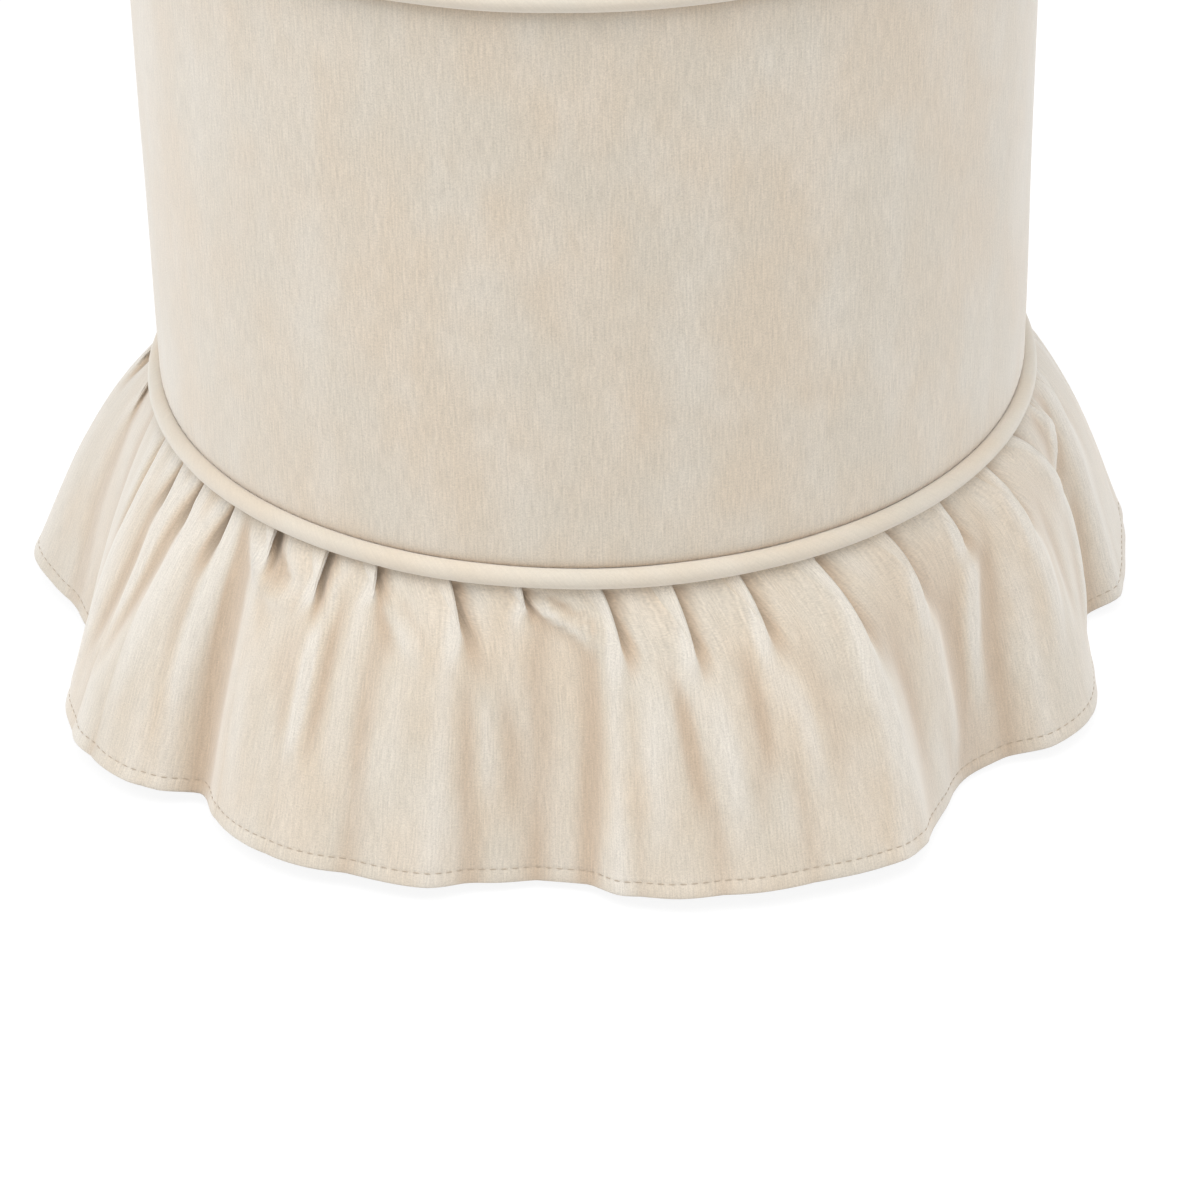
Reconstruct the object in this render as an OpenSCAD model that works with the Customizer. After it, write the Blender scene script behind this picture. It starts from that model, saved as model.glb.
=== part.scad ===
// Round drum pouf with piped seams and a tucked, flared skirt
// Origin: on the floor, on the drum's axis. The front faces -Y.

/* [Drum] */
// Width of the drum, measured over its velvet
drum_d = 400; // [340:5:480]
// Height of the middle of the lower piping above the floor
lower_piping_h = 140; // [115:5:170]
// Height of the middle of the seat above the floor
seat_h = 445; // [400:5:500]
// Rise of the middle of the seat above the upper piping
seat_rise = 37.5; // [25:2.5:50]

/* [Cloth and padding] */
// Thickness of the velvet
velvet_t = 1.5; // [0.8:0.1:2.2]
// Thickness of the plain cloth behind the skirt
lining_t = 1.2; // [0.6:0.1:1.8]
// Thickness of the side wadding together with its play
side_wadding_t = 12; // [8:1:18]
// Thickness of the wadding over the seat foam
seat_wadding_t = 6; // [4:1:10]
// Thickness of the seat foam at its edge
seat_foam_t = 50; // [35:5:70]

/* [Piping] */
// Thickness of a finished piping
piping_d = 9; // [8:0.5:11]
// Thickness of the cord inside a piping
cord_d = 6.2; // [5:0.1:6.6]
// Depth that a piping sinks into the drum's outline
piping_sunk = 3; // [2:0.25:4]
// Width of the strip that is sewn behind the side cover
flange_w = 12; // [8:1:20]
// Thickness of that strip, which is two plies of velvet
flange_t = 1.6; // [1:0.1:2]

/* [Skirt] */
// Mean distance that the hem stands out from the drum
skirt_reach = 56; // [30:2:80]
// Mean height of the hem above the floor
hem_h = 9; // [8:1:20]
// Height of the step where the cloth folds over at a tuck
tuck_depth = 4.5; // [2:0.5:7]

/* [Frame] */
// Thickness of the seat board and of the base board
board_t = 12; // [9:1:18]
// Thickness of the bent fibreboard wall
wall_t = 3; // [2:0.5:5]
// Width of a square upright
upright_w = 28; // [22:1:36]
// Width of the chamfers along an upright
upright_chamfer = 2; // [1:0.5:4]
// Width of a vent hole in the seat board
vent_d = 25; // [12:1:30]
// Distance of the outer vent holes from the middle
vent_r = 80; // [50:5:100]

/* [Underside] */
// Thickness of the dust cover
dust_t = 0.6; // [0.4:0.1:1]
// Width of the cloth turned under the base board
turn_under_w = 25; // [15:1:35]
// Diameter of a glide
glide_d = 30; // [24:1:36]
// Height of a glide
glide_h = 8; // [6:0.5:12]
// Radius of the rounded rim under a glide
glide_round = 2; // [1:0.5:2.5]
// Distance from a glide to the cloth turned under
glide_inset = 3; // [1:1:20]

/* [Screws] */
// Diameter of a screw's shank
screw_d = 4; // [3:0.5:4.5]
// Diameter of a screw's countersunk head
screw_head_d = 8; // [7:0.5:9]
// Height of a screw's head
screw_head_h = 2.4; // [2:0.2:3]
// Length of a screw through a board into an upright
frame_screw_l = 40; // [30:5:50]
// Length of a screw through a glide into the base board
glide_screw_l = 14; // [12:1:16]

/* [Hidden] */
$fn = 96;

velvet = [0.87, 0.83, 0.76];
welt_velvet = [0.89, 0.85, 0.78];
lining = [0.82, 0.79, 0.72];
wadding = [0.95, 0.95, 0.94];
foam = [0.93, 0.89, 0.70];
cotton = [0.93, 0.91, 0.86];
plywood = [0.80, 0.66, 0.47];
pine = [0.88, 0.74, 0.53];
fibreboard = [0.55, 0.42, 0.30];
black_cloth = [0.10, 0.10, 0.11];
black_plastic = [0.13, 0.13, 0.14];
zinc = [0.76, 0.77, 0.79];

uprights = 6;
glides = 4;
vents = 4;

// Play between curved layers, and round a screw in its hole
layer_gap = 0.2;
screw_play = 0.1;
// Overrun of a cut past the face that it opens
cut = 1;
// Empty depth left under the tip of a screw, and length of the tip
pilot_spare = 1;
screw_tip_h = 5;

// Radii of the layers of the side, from the velvet inwards
drum_r = drum_d / 2;
cover_in_r = drum_r - velvet_t;
wadding_r = cover_in_r - layer_gap;
wall_r = drum_r - velvet_t - side_wadding_t;
wall_in_r = wall_r - wall_t;
board_r = wall_in_r - layer_gap;
band_r = cover_in_r - layer_gap;
band_in_r = band_r - lining_t;
low_wadding_r = band_in_r - layer_gap;

// Radii of the piping
piping_r = piping_d / 2;
cord_r = cord_d / 2;
bore_r = cord_r + layer_gap;
piping_centre_r = drum_r + piping_r - piping_sunk;
flange_in_r = wadding_r - flange_t;

// Half the height of the piping at radius r
function piping_half(r) = sqrt(pow(piping_r, 2) - pow(min(piping_r, abs(piping_centre_r - r)), 2));

// Heights, from the floor upwards
upper_piping_h = seat_h - seat_rise;
base_z = glide_h + dust_t;
base_top_z = base_z + board_t;
seat_rim_z = upper_piping_h + piping_half(drum_r) + layer_gap;
seat_top_z = seat_rim_z - seat_foam_t;
seat_z = seat_top_z - board_t;
upright_h = seat_z - base_top_z;
crown_h = seat_h - seat_rim_z;

// Places on the boards
upright_r = sqrt(pow(board_r, 2) - pow(upright_w / 2, 2)) - upright_w / 2;
turn_in_r = board_r - turn_under_w;
dust_step_r = turn_in_r - layer_gap;
dust_r = (turn_in_r + board_r) / 2;
glide_r = dust_step_r - dust_t - glide_inset - glide_d / 2;
// Depth of a glide's countersink below its screw's head
glide_recess = 3;

// Outline of the crown: 2 is an ellipse, and more is flatter with a tighter rim
crown_squareness = 3;
crown_steps = 24;
function crown(r, rise) =
    [for (i = [0:crown_steps]) let (a = 90 * i / crown_steps)
        [r * pow(cos(a), 2 / crown_squareness), seat_rim_z + rise * sin(a)]];
function reversed(list) = [for (i = [len(list) - 1:-1:0]) list[i]];

// Widths of the cloth between one tuck and the next, starting at the front and going to the right
tuck_width_shares = [
    0.90, 0.90, 1.02, 1.16, 1.06, 1.14, 0.89, 1.16,
    0.95, 1.15, 1.00, 1.20, 0.95, 1.05, 1.15, 1.10, 0.90, 1.20, 1.05, 1.00,
    1.15, 1.10, 0.95, 1.20, 1.00, 1.05, 1.05, 0.87,
    0.84, 0.79, 0.69, 0.79, 0.92, 0.91, 0.76, 1.03, 0.95, 1.02
];
// Depths of the tucks, repeated round the drum
tuck_depth_shares = [1.05, 0.85, 1.15, 0.95, 1.20, 1.00, 0.75, 1.10, 0.65, 0.90, 0.80];
// Tucks that fold over to the left: the others fold over to the right
left_tucks = [28, 29, 30, 31, 32];
first_tuck_angle = 0.5;
// Angle that a tuck drifts to the right on its way down to the hem
tuck_lean = 2.5;

// The hem's broad folds: how far the hem stands out from the drum at each angle, as a share of its mean reach
hem_shares = [
    [-128, 1.00], [-120, 0.98], [-112, 1.08], [-106, 1.30], [-102, 1.29], [-98.5, 1.28], [-96.5, 1.26], [-94.5, 1.19],
    [-93, 1.10], [-91, 0.97], [-88, 0.85], [-85, 0.76], [-82, 0.76], [-79, 0.85], [-73, 1.01], [-67, 1.21],
    [-64, 1.26], [-59, 1.25], [-54.5, 1.17], [-51.5, 1.06], [-50, 0.87], [-48.5, 0.74], [-47, 0.75], [-43, 0.93],
    [-39, 1.05], [-33, 1.08], [-30.5, 1.07], [-24.5, 0.98], [-18.5, 0.94], [-15, 0.83], [-13, 0.72], [-9, 0.63],
    [-7, 0.60], [-3, 0.60], [-0.5, 0.69], [1, 0.82], [2.5, 0.89], [8.5, 0.99], [14, 1.05], [20, 1.08],
    [26, 1.13], [30, 1.13], [33, 1.05], [34.5, 0.98], [36, 0.87], [37.5, 0.78], [42, 0.63], [46, 0.50],
    [49, 0.49], [51.5, 0.57], [53, 0.68], [55.5, 0.84], [59, 0.93], [62, 0.95], [65, 0.92], [70, 0.78],
    [74, 0.69], [78, 0.62], [82, 0.57], [84.5, 0.61], [85.5, 0.76], [87, 0.88], [89, 0.94], [94, 1.00],
    [98, 1.10], [102, 1.21], [106, 1.25], [112, 1.10], [118, 0.86], [124, 1.05], [134, 1.16], [142, 1.12],
    [149, 0.95], [155, 0.67], [161, 0.88], [169, 0.99], [177, 1.04], [185, 1.05], [191, 0.96], [197, 0.70],
    [202, 0.97], [209, 1.13], [216, 1.10], [223, 0.92], [228, 0.72], [232, 1.00]
];
// Rise of the hem where the cloth stands further out
hem_lift_share = 0.2;
// Outward bow of the skirt, how much more it bows on both sides, and how near the seam it bows most
bow_share = 0.55;
bow_side_share = 0.15;
bow_squareness = 1.5;
// Rows of points down the skirt, and how much of a tuck's depth is left at each
row_shares = [0, 0.18, 0.50, 1];
row_tuck_shares = [0.75, 1, 0.55, 0.15];
// Points from one tuck to the next, as shares of the cloth between them
point_shares = [0.04, 0.35, 0.68, 0.97];
// Swell of the cloth halfway between two tucks
swell_share = 0.35;

skirt_top_z = lower_piping_h - piping_r - layer_gap;
tucks = len(tuck_width_shares);
rows = len(row_shares);
tuck_points = len(point_shares);
round_points = tucks * tuck_points;

function sum_to(list, n) = n == 0 ? 0 : list[n - 1] + sum_to(list, n - 1);
width_total = sum_to(tuck_width_shares, tucks);
tuck_angles = [for (i = [0:tucks]) first_tuck_angle + 360 * sum_to(tuck_width_shares, i) / width_total];

// Height of the step at tuck i, on its right side and on its left side
function tuck_step(i) = tuck_depth * tuck_depth_shares[i % len(tuck_depth_shares)];
function folds_left(i) = len(search(i % tucks, left_tucks)) > 0;
function right_step(i) = folds_left(i) ? tuck_step(i % tucks) : 0;
function left_step(i) = folds_left(i) ? 0 : tuck_step(i % tucks);

// How far the hem stands out at angle a, as a share of its mean reach
function wrapped(a) =
    a < hem_shares[0][0] ? wrapped(a + 360) : a >= hem_shares[0][0] + 360 ? wrapped(a - 360) : a;
function hem_share(a) = lookup(wrapped(a), hem_shares);

// A point of the skirt's outer face: tuck i, share t of the way to the next one, row j
function skirt_point(i, t, j, inset) =
    let (
        s = row_shares[j],
        top_a = tuck_angles[i] * (1 - t) + tuck_angles[i + 1] * t,
        a = top_a + tuck_lean * s,
        out = hem_share(a),
        bow = s + (bow_share + bow_side_share * pow(sin(a), 2)) * s * pow(1 - s, bow_squareness),
        step = right_step(i) * pow(1 - t, 2) + left_step(i + 1) * pow(t, 2),
        swell = swell_share * tuck_depth * sin(180 * t) * s,
        relief = row_tuck_shares[j] * step + swell,
        r = drum_r + skirt_reach * out * bow + relief - inset,
        hem_z = hem_h + hem_lift_share * skirt_reach * (out - 1)
    )
    [r * sin(a), -r * cos(a), skirt_top_z + (hem_z - skirt_top_z) * s];

function skirt_face(inset) =
    [for (j = [0:rows - 1]) for (i = [0:tucks - 1]) for (t = point_shares) skirt_point(i, t, j, inset)];

// Point n round a row, and the two triangles between four corners
function at(row, n) = row * round_points + n % round_points;
function two_faces(a, b, c, d) = [[a, b, c], [a, c, d]];

module batten() {
    half = upright_w / 2;
    inner = half - upright_chamfer;
    linear_extrude(upright_h)
        polygon([
            [-half, -inner], [-inner, -half], [inner, -half], [half, -inner],
            [half, inner], [inner, half], [-inner, half], [-half, inner]
        ]);
}

// A countersunk screw with its head's face at z = 0 and its tip below
module screw(length) {
    rotate_extrude()
        polygon([
            [0, 0], [screw_head_d / 2, 0], [screw_d / 2, -screw_head_h],
            [screw_d / 2, screw_tip_h - length], [0, -length]
        ]);
}

// The hole that such a screw needs, open above the head's face by the length of recess
module screw_hole(length, recess) {
    head_r = screw_head_d / 2 + screw_play;
    shank_r = screw_d / 2 + screw_play;
    translate([0, 0, -length - pilot_spare])
        cylinder(h = length + pilot_spare, r = shank_r);
    translate([0, 0, -screw_head_h])
        cylinder(h = screw_head_h, r1 = shank_r, r2 = head_r);
    cylinder(h = recess, r = head_r);
}

module round_the_uprights() {
    for (i = [1:uprights])
        at_upright(i) children();
}

module at_upright(i) {
    rotate([0, 0, 360 / uprights * (i - 0.5)])
        translate([upright_r, 0, 0])
            children();
}

module at_glide(i) {
    rotate([0, 0, 360 / glides * (i - 0.5)])
        translate([glide_r, 0, 0])
            children();
}

module base_board() {
    color(plywood)
        difference() {
            translate([0, 0, base_z])
                cylinder(h = board_t, r = board_r);
            round_the_uprights()
                translate([0, 0, base_z])
                    mirror([0, 0, 1])
                        screw_hole(frame_screw_l, cut);
            for (i = [1:glides])
                at_glide(i)
                    translate([0, 0, glide_recess])
                        mirror([0, 0, 1])
                            screw_hole(glide_screw_l, cut);
        }
}

module upright(i) {
    color(pine)
        at_upright(i)
            difference() {
                translate([0, 0, base_top_z])
                    batten();
                translate([0, 0, base_z])
                    mirror([0, 0, 1])
                        screw_hole(frame_screw_l, cut);
                translate([0, 0, seat_top_z])
                    screw_hole(frame_screw_l, cut);
            }
}

module seat_board() {
    color(plywood)
        difference() {
            translate([0, 0, seat_z])
                cylinder(h = board_t, r = board_r);
            round_the_uprights()
                translate([0, 0, seat_top_z])
                    screw_hole(frame_screw_l, cut);
            translate([0, 0, seat_z - cut])
                cylinder(h = board_t + 2 * cut, r = vent_d / 2);
            for (i = [1:vents])
                rotate([0, 0, 360 / vents * i])
                    translate([vent_r, 0, seat_z - cut])
                        cylinder(h = board_t + 2 * cut, r = vent_d / 2);
        }
}

module seat_board_screws() {
    color(zinc)
        round_the_uprights()
            translate([0, 0, seat_top_z])
                screw(frame_screw_l);
}

module base_board_screws() {
    color(zinc)
        round_the_uprights()
            translate([0, 0, base_z])
                mirror([0, 0, 1])
                    screw(frame_screw_l);
}

module drum_wall() {
    color(fibreboard)
        translate([0, 0, base_z])
            difference() {
                cylinder(h = seat_top_z - base_z, r = wall_r);
                translate([0, 0, -cut])
                    cylinder(h = seat_top_z - base_z + 2 * cut, r = wall_in_r);
            }
}

// Cross-section of the room that a piping and its sewn strip take: way is 1 where the strip goes up
module piping_room(h, way) {
    translate([piping_centre_r, h])
        circle(piping_r + layer_gap);
    sewn_strip(h, way, layer_gap);
}

module sewn_strip(h, way, play) {
    low = way > 0 ? h - flange_t / 2 : h - flange_w;
    high = way > 0 ? h + flange_w : h + flange_t / 2;
    translate([flange_in_r - play, low - play])
        square([flange_t + 2 * play, high - low + 2 * play]);
    translate([flange_in_r - play, h - flange_t / 2 - play])
        square([piping_centre_r - flange_in_r, flange_t + 2 * play]);
}

module side_wadding() {
    in_r = wall_r + layer_gap;
    color(wadding)
        rotate_extrude()
            difference() {
                polygon([
                    [in_r, base_z], [low_wadding_r, base_z], [low_wadding_r, lower_piping_h],
                    [wadding_r, lower_piping_h], [wadding_r, seat_rim_z], [in_r, seat_rim_z]
                ]);
                piping_room(lower_piping_h, 1);
                piping_room(upper_piping_h, -1);
            }
}

module seat_foam() {
    rise = crown_h - velvet_t - seat_wadding_t - 2 * layer_gap;
    color(foam)
        rotate_extrude()
            polygon(concat([[0, seat_top_z], [wall_r, seat_top_z]], crown(wall_r, rise)));
}

module seat_wadding() {
    rise = crown_h - velvet_t - layer_gap;
    color(wadding)
        rotate_extrude()
            polygon(concat(crown(wadding_r, rise), reversed(crown(wall_r + layer_gap, rise - seat_wadding_t))));
}

module seat_cover() {
    color(velvet)
        rotate_extrude()
            polygon(concat(crown(drum_r, crown_h), reversed(crown(cover_in_r, crown_h - velvet_t))));
}

module side_cover() {
    low = lower_piping_h + piping_half(drum_r) + layer_gap;
    high = upper_piping_h - piping_half(drum_r) - layer_gap;
    color(velvet)
        rotate_extrude()
            translate([cover_in_r, low])
                square([velvet_t, high - low]);
}

// The plain cloth hangs from the lower seam and turns in under the base board
module lower_band() {
    top = lower_piping_h - piping_half(band_r) - layer_gap;
    color(lining)
        rotate_extrude()
            polygon([
                [turn_in_r, base_z - lining_t], [band_r, base_z - lining_t], [band_r, top],
                [band_in_r, top], [band_in_r, base_z], [turn_in_r, base_z]
            ]);
}

module welt_cord(h) {
    color(cotton)
        rotate_extrude()
            translate([piping_centre_r, h])
                circle(cord_r);
}

module welt_cover(h, way) {
    color(welt_velvet)
        rotate_extrude()
            difference() {
                union() {
                    translate([piping_centre_r, h])
                        circle(piping_r);
                    sewn_strip(h, way, 0);
                }
                translate([piping_centre_r, h])
                    circle(bore_r);
            }
}

module skirt() {
    inner = rows * round_points;
    last = rows - 1;
    outer_faces = [
        for (j = [0:last - 1]) for (n = [0:round_points - 1])
            for (f = two_faces(at(j, n), at(j, n + 1), at(j + 1, n + 1), at(j + 1, n))) f
    ];
    inner_faces = [for (f = outer_faces) [inner + f[0], inner + f[2], inner + f[1]]];
    top_edge = [
        for (n = [0:round_points - 1])
            for (f = two_faces(at(0, n), inner + at(0, n), inner + at(0, n + 1), at(0, n + 1))) f
    ];
    hem_edge = [
        for (n = [0:round_points - 1])
            for (f = two_faces(at(last, n), at(last, n + 1), inner + at(last, n + 1), inner + at(last, n))) f
    ];
    color(velvet)
        polyhedron(
            points = concat(skirt_face(0), skirt_face(velvet_t)),
            faces = concat(outer_faces, inner_faces, top_edge, hem_edge)
        );
}

// The dust cover lies under the turned-in cloth at its rim and against the board in the middle
module dust_cover() {
    rim_z = base_z - lining_t;
    color(black_cloth)
        difference() {
            rotate_extrude()
                polygon([
                    [0, base_z - dust_t], [dust_step_r - dust_t, base_z - dust_t],
                    [dust_step_r - dust_t, rim_z - dust_t], [dust_r, rim_z - dust_t], [dust_r, rim_z],
                    [dust_step_r, rim_z], [dust_step_r, base_z], [0, base_z]
                ]);
            for (i = [1:glides])
                at_glide(i)
                    translate([0, 0, glide_h - cut])
                        cylinder(h = dust_t + 2 * cut, r = screw_d / 2 + screw_play);
        }
}

module glide(i) {
    color(black_plastic)
        at_glide(i)
            difference() {
                rotate_extrude() {
                    square([glide_d / 2, glide_h]);
                }
                rotate_extrude()
                    difference() {
                        translate([glide_d / 2 - glide_round, -cut])
                            square([glide_round + cut, glide_round + cut]);
                        translate([glide_d / 2 - glide_round, glide_round])
                            circle(glide_round);
                    }
                translate([0, 0, glide_recess])
                    mirror([0, 0, 1])
                        screw_hole(glide_screw_l, glide_recess + cut);
            }
}

module glide_screws() {
    color(zinc)
        for (i = [1:glides])
            at_glide(i)
                translate([0, 0, glide_recess])
                    mirror([0, 0, 1])
                        screw(glide_screw_l);
}

base_board();
upright(1);  // upright_1
upright(2);  // upright_2
upright(3);  // upright_3
upright(4);  // upright_4
upright(5);  // upright_5
upright(6);  // upright_6
seat_board();
seat_board_screws();
base_board_screws();
drum_wall();
side_wadding();
seat_foam();
seat_wadding();
seat_cover();
side_cover();
lower_band();
welt_cord(upper_piping_h);  // upper_welt_cord
welt_cover(upper_piping_h, -1);  // upper_welt_cover
welt_cord(lower_piping_h);  // lower_welt_cord
welt_cover(lower_piping_h, 1);  // lower_welt_cover
skirt();
dust_cover();
glide(1);  // glide_1
glide(2);  // glide_2
glide(3);  // glide_3
glide(4);  // glide_4
glide_screws();
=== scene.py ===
import math

import bpy
import numpy as np
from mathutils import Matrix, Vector, noise


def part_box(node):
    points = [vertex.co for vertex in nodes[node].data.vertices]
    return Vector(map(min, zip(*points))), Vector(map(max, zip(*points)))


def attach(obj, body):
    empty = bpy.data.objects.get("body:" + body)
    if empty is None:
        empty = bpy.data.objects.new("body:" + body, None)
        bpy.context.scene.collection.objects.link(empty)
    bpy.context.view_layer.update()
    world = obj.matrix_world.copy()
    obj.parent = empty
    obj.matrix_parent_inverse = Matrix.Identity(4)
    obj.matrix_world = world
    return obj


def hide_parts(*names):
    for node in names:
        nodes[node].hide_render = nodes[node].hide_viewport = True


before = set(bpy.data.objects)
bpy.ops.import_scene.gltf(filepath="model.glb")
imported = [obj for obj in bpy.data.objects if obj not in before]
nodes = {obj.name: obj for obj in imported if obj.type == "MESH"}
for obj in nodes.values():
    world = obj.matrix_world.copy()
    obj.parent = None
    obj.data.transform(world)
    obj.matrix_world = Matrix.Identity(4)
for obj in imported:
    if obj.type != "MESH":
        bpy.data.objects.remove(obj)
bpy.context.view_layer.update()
bpy.ops.object.select_all(action="DESELECT")


# The two boards of the frame are discs of birch plywood, 12 mm thick, cut on a router.
# The base board carries the uprights from below; the seat board has vent holes under the foam.
def new_finish(name, colour, roughness, **plain):
    """A material whose shader starts with these plain values, each set on its own socket."""
    finish = bpy.data.materials.new(name)
    finish.use_nodes = True
    shader = finish.node_tree.nodes["Principled BSDF"]
    shader.inputs["Base Color"].default_value = (*colour, 1)
    shader.inputs["Roughness"].default_value = roughness
    for socket, value in plain.items():
        shader.inputs[socket.replace("_", " ")].default_value = value
    return finish


def add_node(finish, kind, inputs, output=0, **settings):
    """Adds a shader node and gives back one of its outputs.

    Each input is a plain value or another node's output.
    """
    made = finish.node_tree.nodes.new("ShaderNode" + kind)
    for name, value in settings.items():
        setattr(made, name, value)
    for socket, value in inputs.items():
        if isinstance(value, bpy.types.NodeSocket):
            finish.node_tree.links.new(value, made.inputs[socket])
        else:
            made.inputs[socket].default_value = value
    return made.outputs[output]


def place_on(finish, source, stretch):
    """The coordinates that a pattern reads, stretched by a factor on each axis."""
    where = add_node(finish, "TexCoord", {}, output=source)
    return add_node(finish, "Mapping", {"Vector": where, "Scale": stretch})


def speckle(finish, source, stretch, detail=2.0, rough=0.5):
    """A cloudy pattern between 0 and 1, stretched by a factor on each axis."""
    where = place_on(finish, source, stretch)
    return add_node(finish, "TexNoise", {"Vector": where, "Scale": 1.0, "Detail": detail, "Roughness": rough})


def between(finish, share, low, high, edge=(0.0, 1.0)):
    """A colour that goes from low to high as share goes from one edge to the other."""
    made = finish.node_tree.nodes.new("ShaderNodeValToRGB")
    finish.node_tree.links.new(share, made.inputs[0])
    for stop, place, colour in zip(made.color_ramp.elements, edge, (low, high)):
        stop.position = place
        stop.color = (*colour, 1)
    return made.outputs[0]


def colour_with(finish, colour):
    """Lets a pattern give the surface its colour."""
    finish.node_tree.links.new(colour, finish.node_tree.nodes["Principled BSDF"].inputs["Base Color"])


def raise_with(finish, height, depth, strength=1.0):
    """Gives the surface a relief of this depth, in metres."""
    shader = finish.node_tree.nodes["Principled BSDF"]
    relief = add_node(finish, "Bump", {"Height": height, "Distance": depth, "Strength": strength})
    finish.node_tree.links.new(relief, shader.inputs["Normal"])


def wear(piece, finish):
    """Gives the whole piece one finish."""
    piece.data.materials.clear()
    piece.data.materials.append(finish)


plywood = new_finish("birch_plywood", (0.60, 0.42, 0.24), 0.6)
ply_layers = add_node(
    plywood,
    "TexWave",
    {"Vector": place_on(plywood, "Object", (1, 1, 1)), "Scale": 95.0, "Distortion": 0.6, "Detail": 1.0},
    bands_direction="Z",
)
ply_grain = speckle(plywood, "Object", (8, 160, 8), detail=6.0)
ply_shade = add_node(plywood, "Math", {0: ply_layers, 1: ply_grain}, operation="MULTIPLY")
colour_with(plywood, between(plywood, ply_shade, (0.40, 0.24, 0.12), (0.66, 0.48, 0.29), (0.05, 0.6)))
raise_with(plywood, ply_grain, 0.0002)
wear(nodes["base_board"], plywood)
wear(nodes["seat_board"], plywood)

# Six planed pine battens stand between the boards, with their long edges chamfered.
# The growth rings run up them, so the grain is drawn out along their height.
def grained(name, colour, roughness, stretch, detail, low, high, edge, depth, rough=0.5, **plain):
    """A finish with one cloudy grain, which tints the surface from low to high and stands in relief."""
    finish = new_finish(name, colour, roughness, **plain)
    grain = speckle(finish, "Object", stretch, detail=detail, rough=rough)
    colour_with(finish, between(finish, grain, low, high, edge))
    raise_with(finish, grain, depth)
    return finish


pine = grained(
    "planed_pine", (0.70, 0.50, 0.28), 0.55, stretch=(180, 180, 3), detail=5.0,
    low=(0.55, 0.33, 0.15), high=(0.78, 0.59, 0.36), edge=(0.35, 0.7), depth=0.0002,
)
for name in nodes:
    if name.startswith("upright_"):
        wear(nodes[name], pine)

# The wall of the drum is a sheet of 3 mm hardboard, bent round the edges of both boards.
# It has a smooth brown face with fine fibres pressed into it.
hardboard = grained(
    "hardboard", (0.26, 0.15, 0.08), 0.65, stretch=(420, 420, 420), detail=4.0,
    low=(0.18, 0.10, 0.05), high=(0.34, 0.21, 0.12), edge=(0.3, 0.7), depth=0.0001,
)
wear(nodes["drum_wall"], hardboard)

# Zinc-plated wood screws hold the uprights and the glides.
# The plating is thin and bright, with faint cloudy stains.
zinc = grained(
    "zinc_plate", (0.72, 0.73, 0.75), 0.35, stretch=(300, 300, 300), detail=3.0,
    low=(0.56, 0.57, 0.58), high=(0.80, 0.81, 0.83), edge=(0.3, 0.7), depth=0.00005, Metallic=1.0,
)
for name in ("base_board_screws", "seat_board_screws", "glide_screws"):
    wear(nodes[name], zinc)

# The seat foam is a firm round pad, cut to a crown and glued to the seat board.
# Its lower edge is trimmed at a slant, so that the cover pulls down smoothly over it.
foam_low, foam_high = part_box("seat_foam")
seat_rim_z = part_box("side_wadding")[1].z
CROWN_SQUARENESS = 3
CROWN_STEPS = 40
SPIN_STEPS = 360
MERGE_GAP = 0.00001


def crown(radius, top_z, bottom_z=seat_rim_z):
    """The outline of a crowned disc from its rim to its middle, as (radius, height) points."""
    points = []
    for step in range(CROWN_STEPS + 1):
        turn = math.radians(90 * step / CROWN_STEPS)
        out = radius * max(math.cos(turn), 0) ** (2 / CROWN_SQUARENESS)
        points.append((out, bottom_z + (top_z - bottom_z) * math.sin(turn)))
    points[-1] = (0, top_z)
    return points


def turned(name, profile, steps=SPIN_STEPS):
    """A round piece: its profile is drawn point by point, spun an eighth of the way round, and copied."""
    bpy.ops.object.select_all(action="DESELECT")
    bpy.ops.mesh.primitive_plane_add(size=0.001)
    piece = bpy.context.object
    piece.name = piece.data.name = name
    bpy.ops.object.mode_set(mode="EDIT")
    bpy.ops.mesh.merge(type="CENTER")
    bpy.ops.transform.translate(value=(profile[0][0], 0, profile[0][1]))
    for here, there in zip(profile, profile[1:]):
        step = (there[0] - here[0], 0, there[1] - here[1])
        bpy.ops.mesh.extrude_vertices_move(TRANSFORM_OT_translate={"value": step})
    bpy.ops.mesh.select_all(action="SELECT")
    bpy.ops.mesh.spin(steps=steps // 8, angle=math.pi / 4, center=(0, 0, 0), axis=(0, 0, 1))
    for turn in (math.pi / 4, math.pi / 2, math.pi):
        bpy.ops.mesh.select_all(action="SELECT")
        bpy.ops.mesh.duplicate()
        bpy.ops.transform.rotate(value=turn, orient_axis="Z", center_override=(0, 0, 0))
    bpy.ops.mesh.select_all(action="SELECT")
    bpy.ops.mesh.remove_doubles(threshold=MERGE_GAP)
    bpy.ops.mesh.normals_make_consistent(inside=False)
    bpy.ops.object.mode_set(mode="OBJECT")
    bpy.ops.object.shade_smooth()
    piece.data.uv_layers.remove(piece.data.uv_layers[0])
    return piece


def points_of(piece):
    """The piece's points as an array of places."""
    flat = np.zeros(len(piece.data.vertices) * 3)
    piece.data.vertices.foreach_get("co", flat)
    return flat.reshape(-1, 3)


def move_points(piece, places):
    """Moves the piece's points to these places."""
    piece.data.vertices.foreach_set("co", places.ravel())
    piece.data.update()


def unevenness(places, size):
    """Smooth humps between about -1 and 1 at each place, of about this size."""
    return np.array([noise.noise(Vector(place) / size) for place in places])


foam = new_finish("seat_foam", (0.80, 0.72, 0.45), 0.9)
foam_cells = add_node(foam, "TexVoronoi", {"Vector": place_on(foam, "Object", (1, 1, 1)), "Scale": 900.0})
colour_with(foam, between(foam, foam_cells, (0.84, 0.77, 0.52), (0.68, 0.58, 0.33), (0.1, 0.8)))
raise_with(foam, foam_cells, 0.0004)

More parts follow.
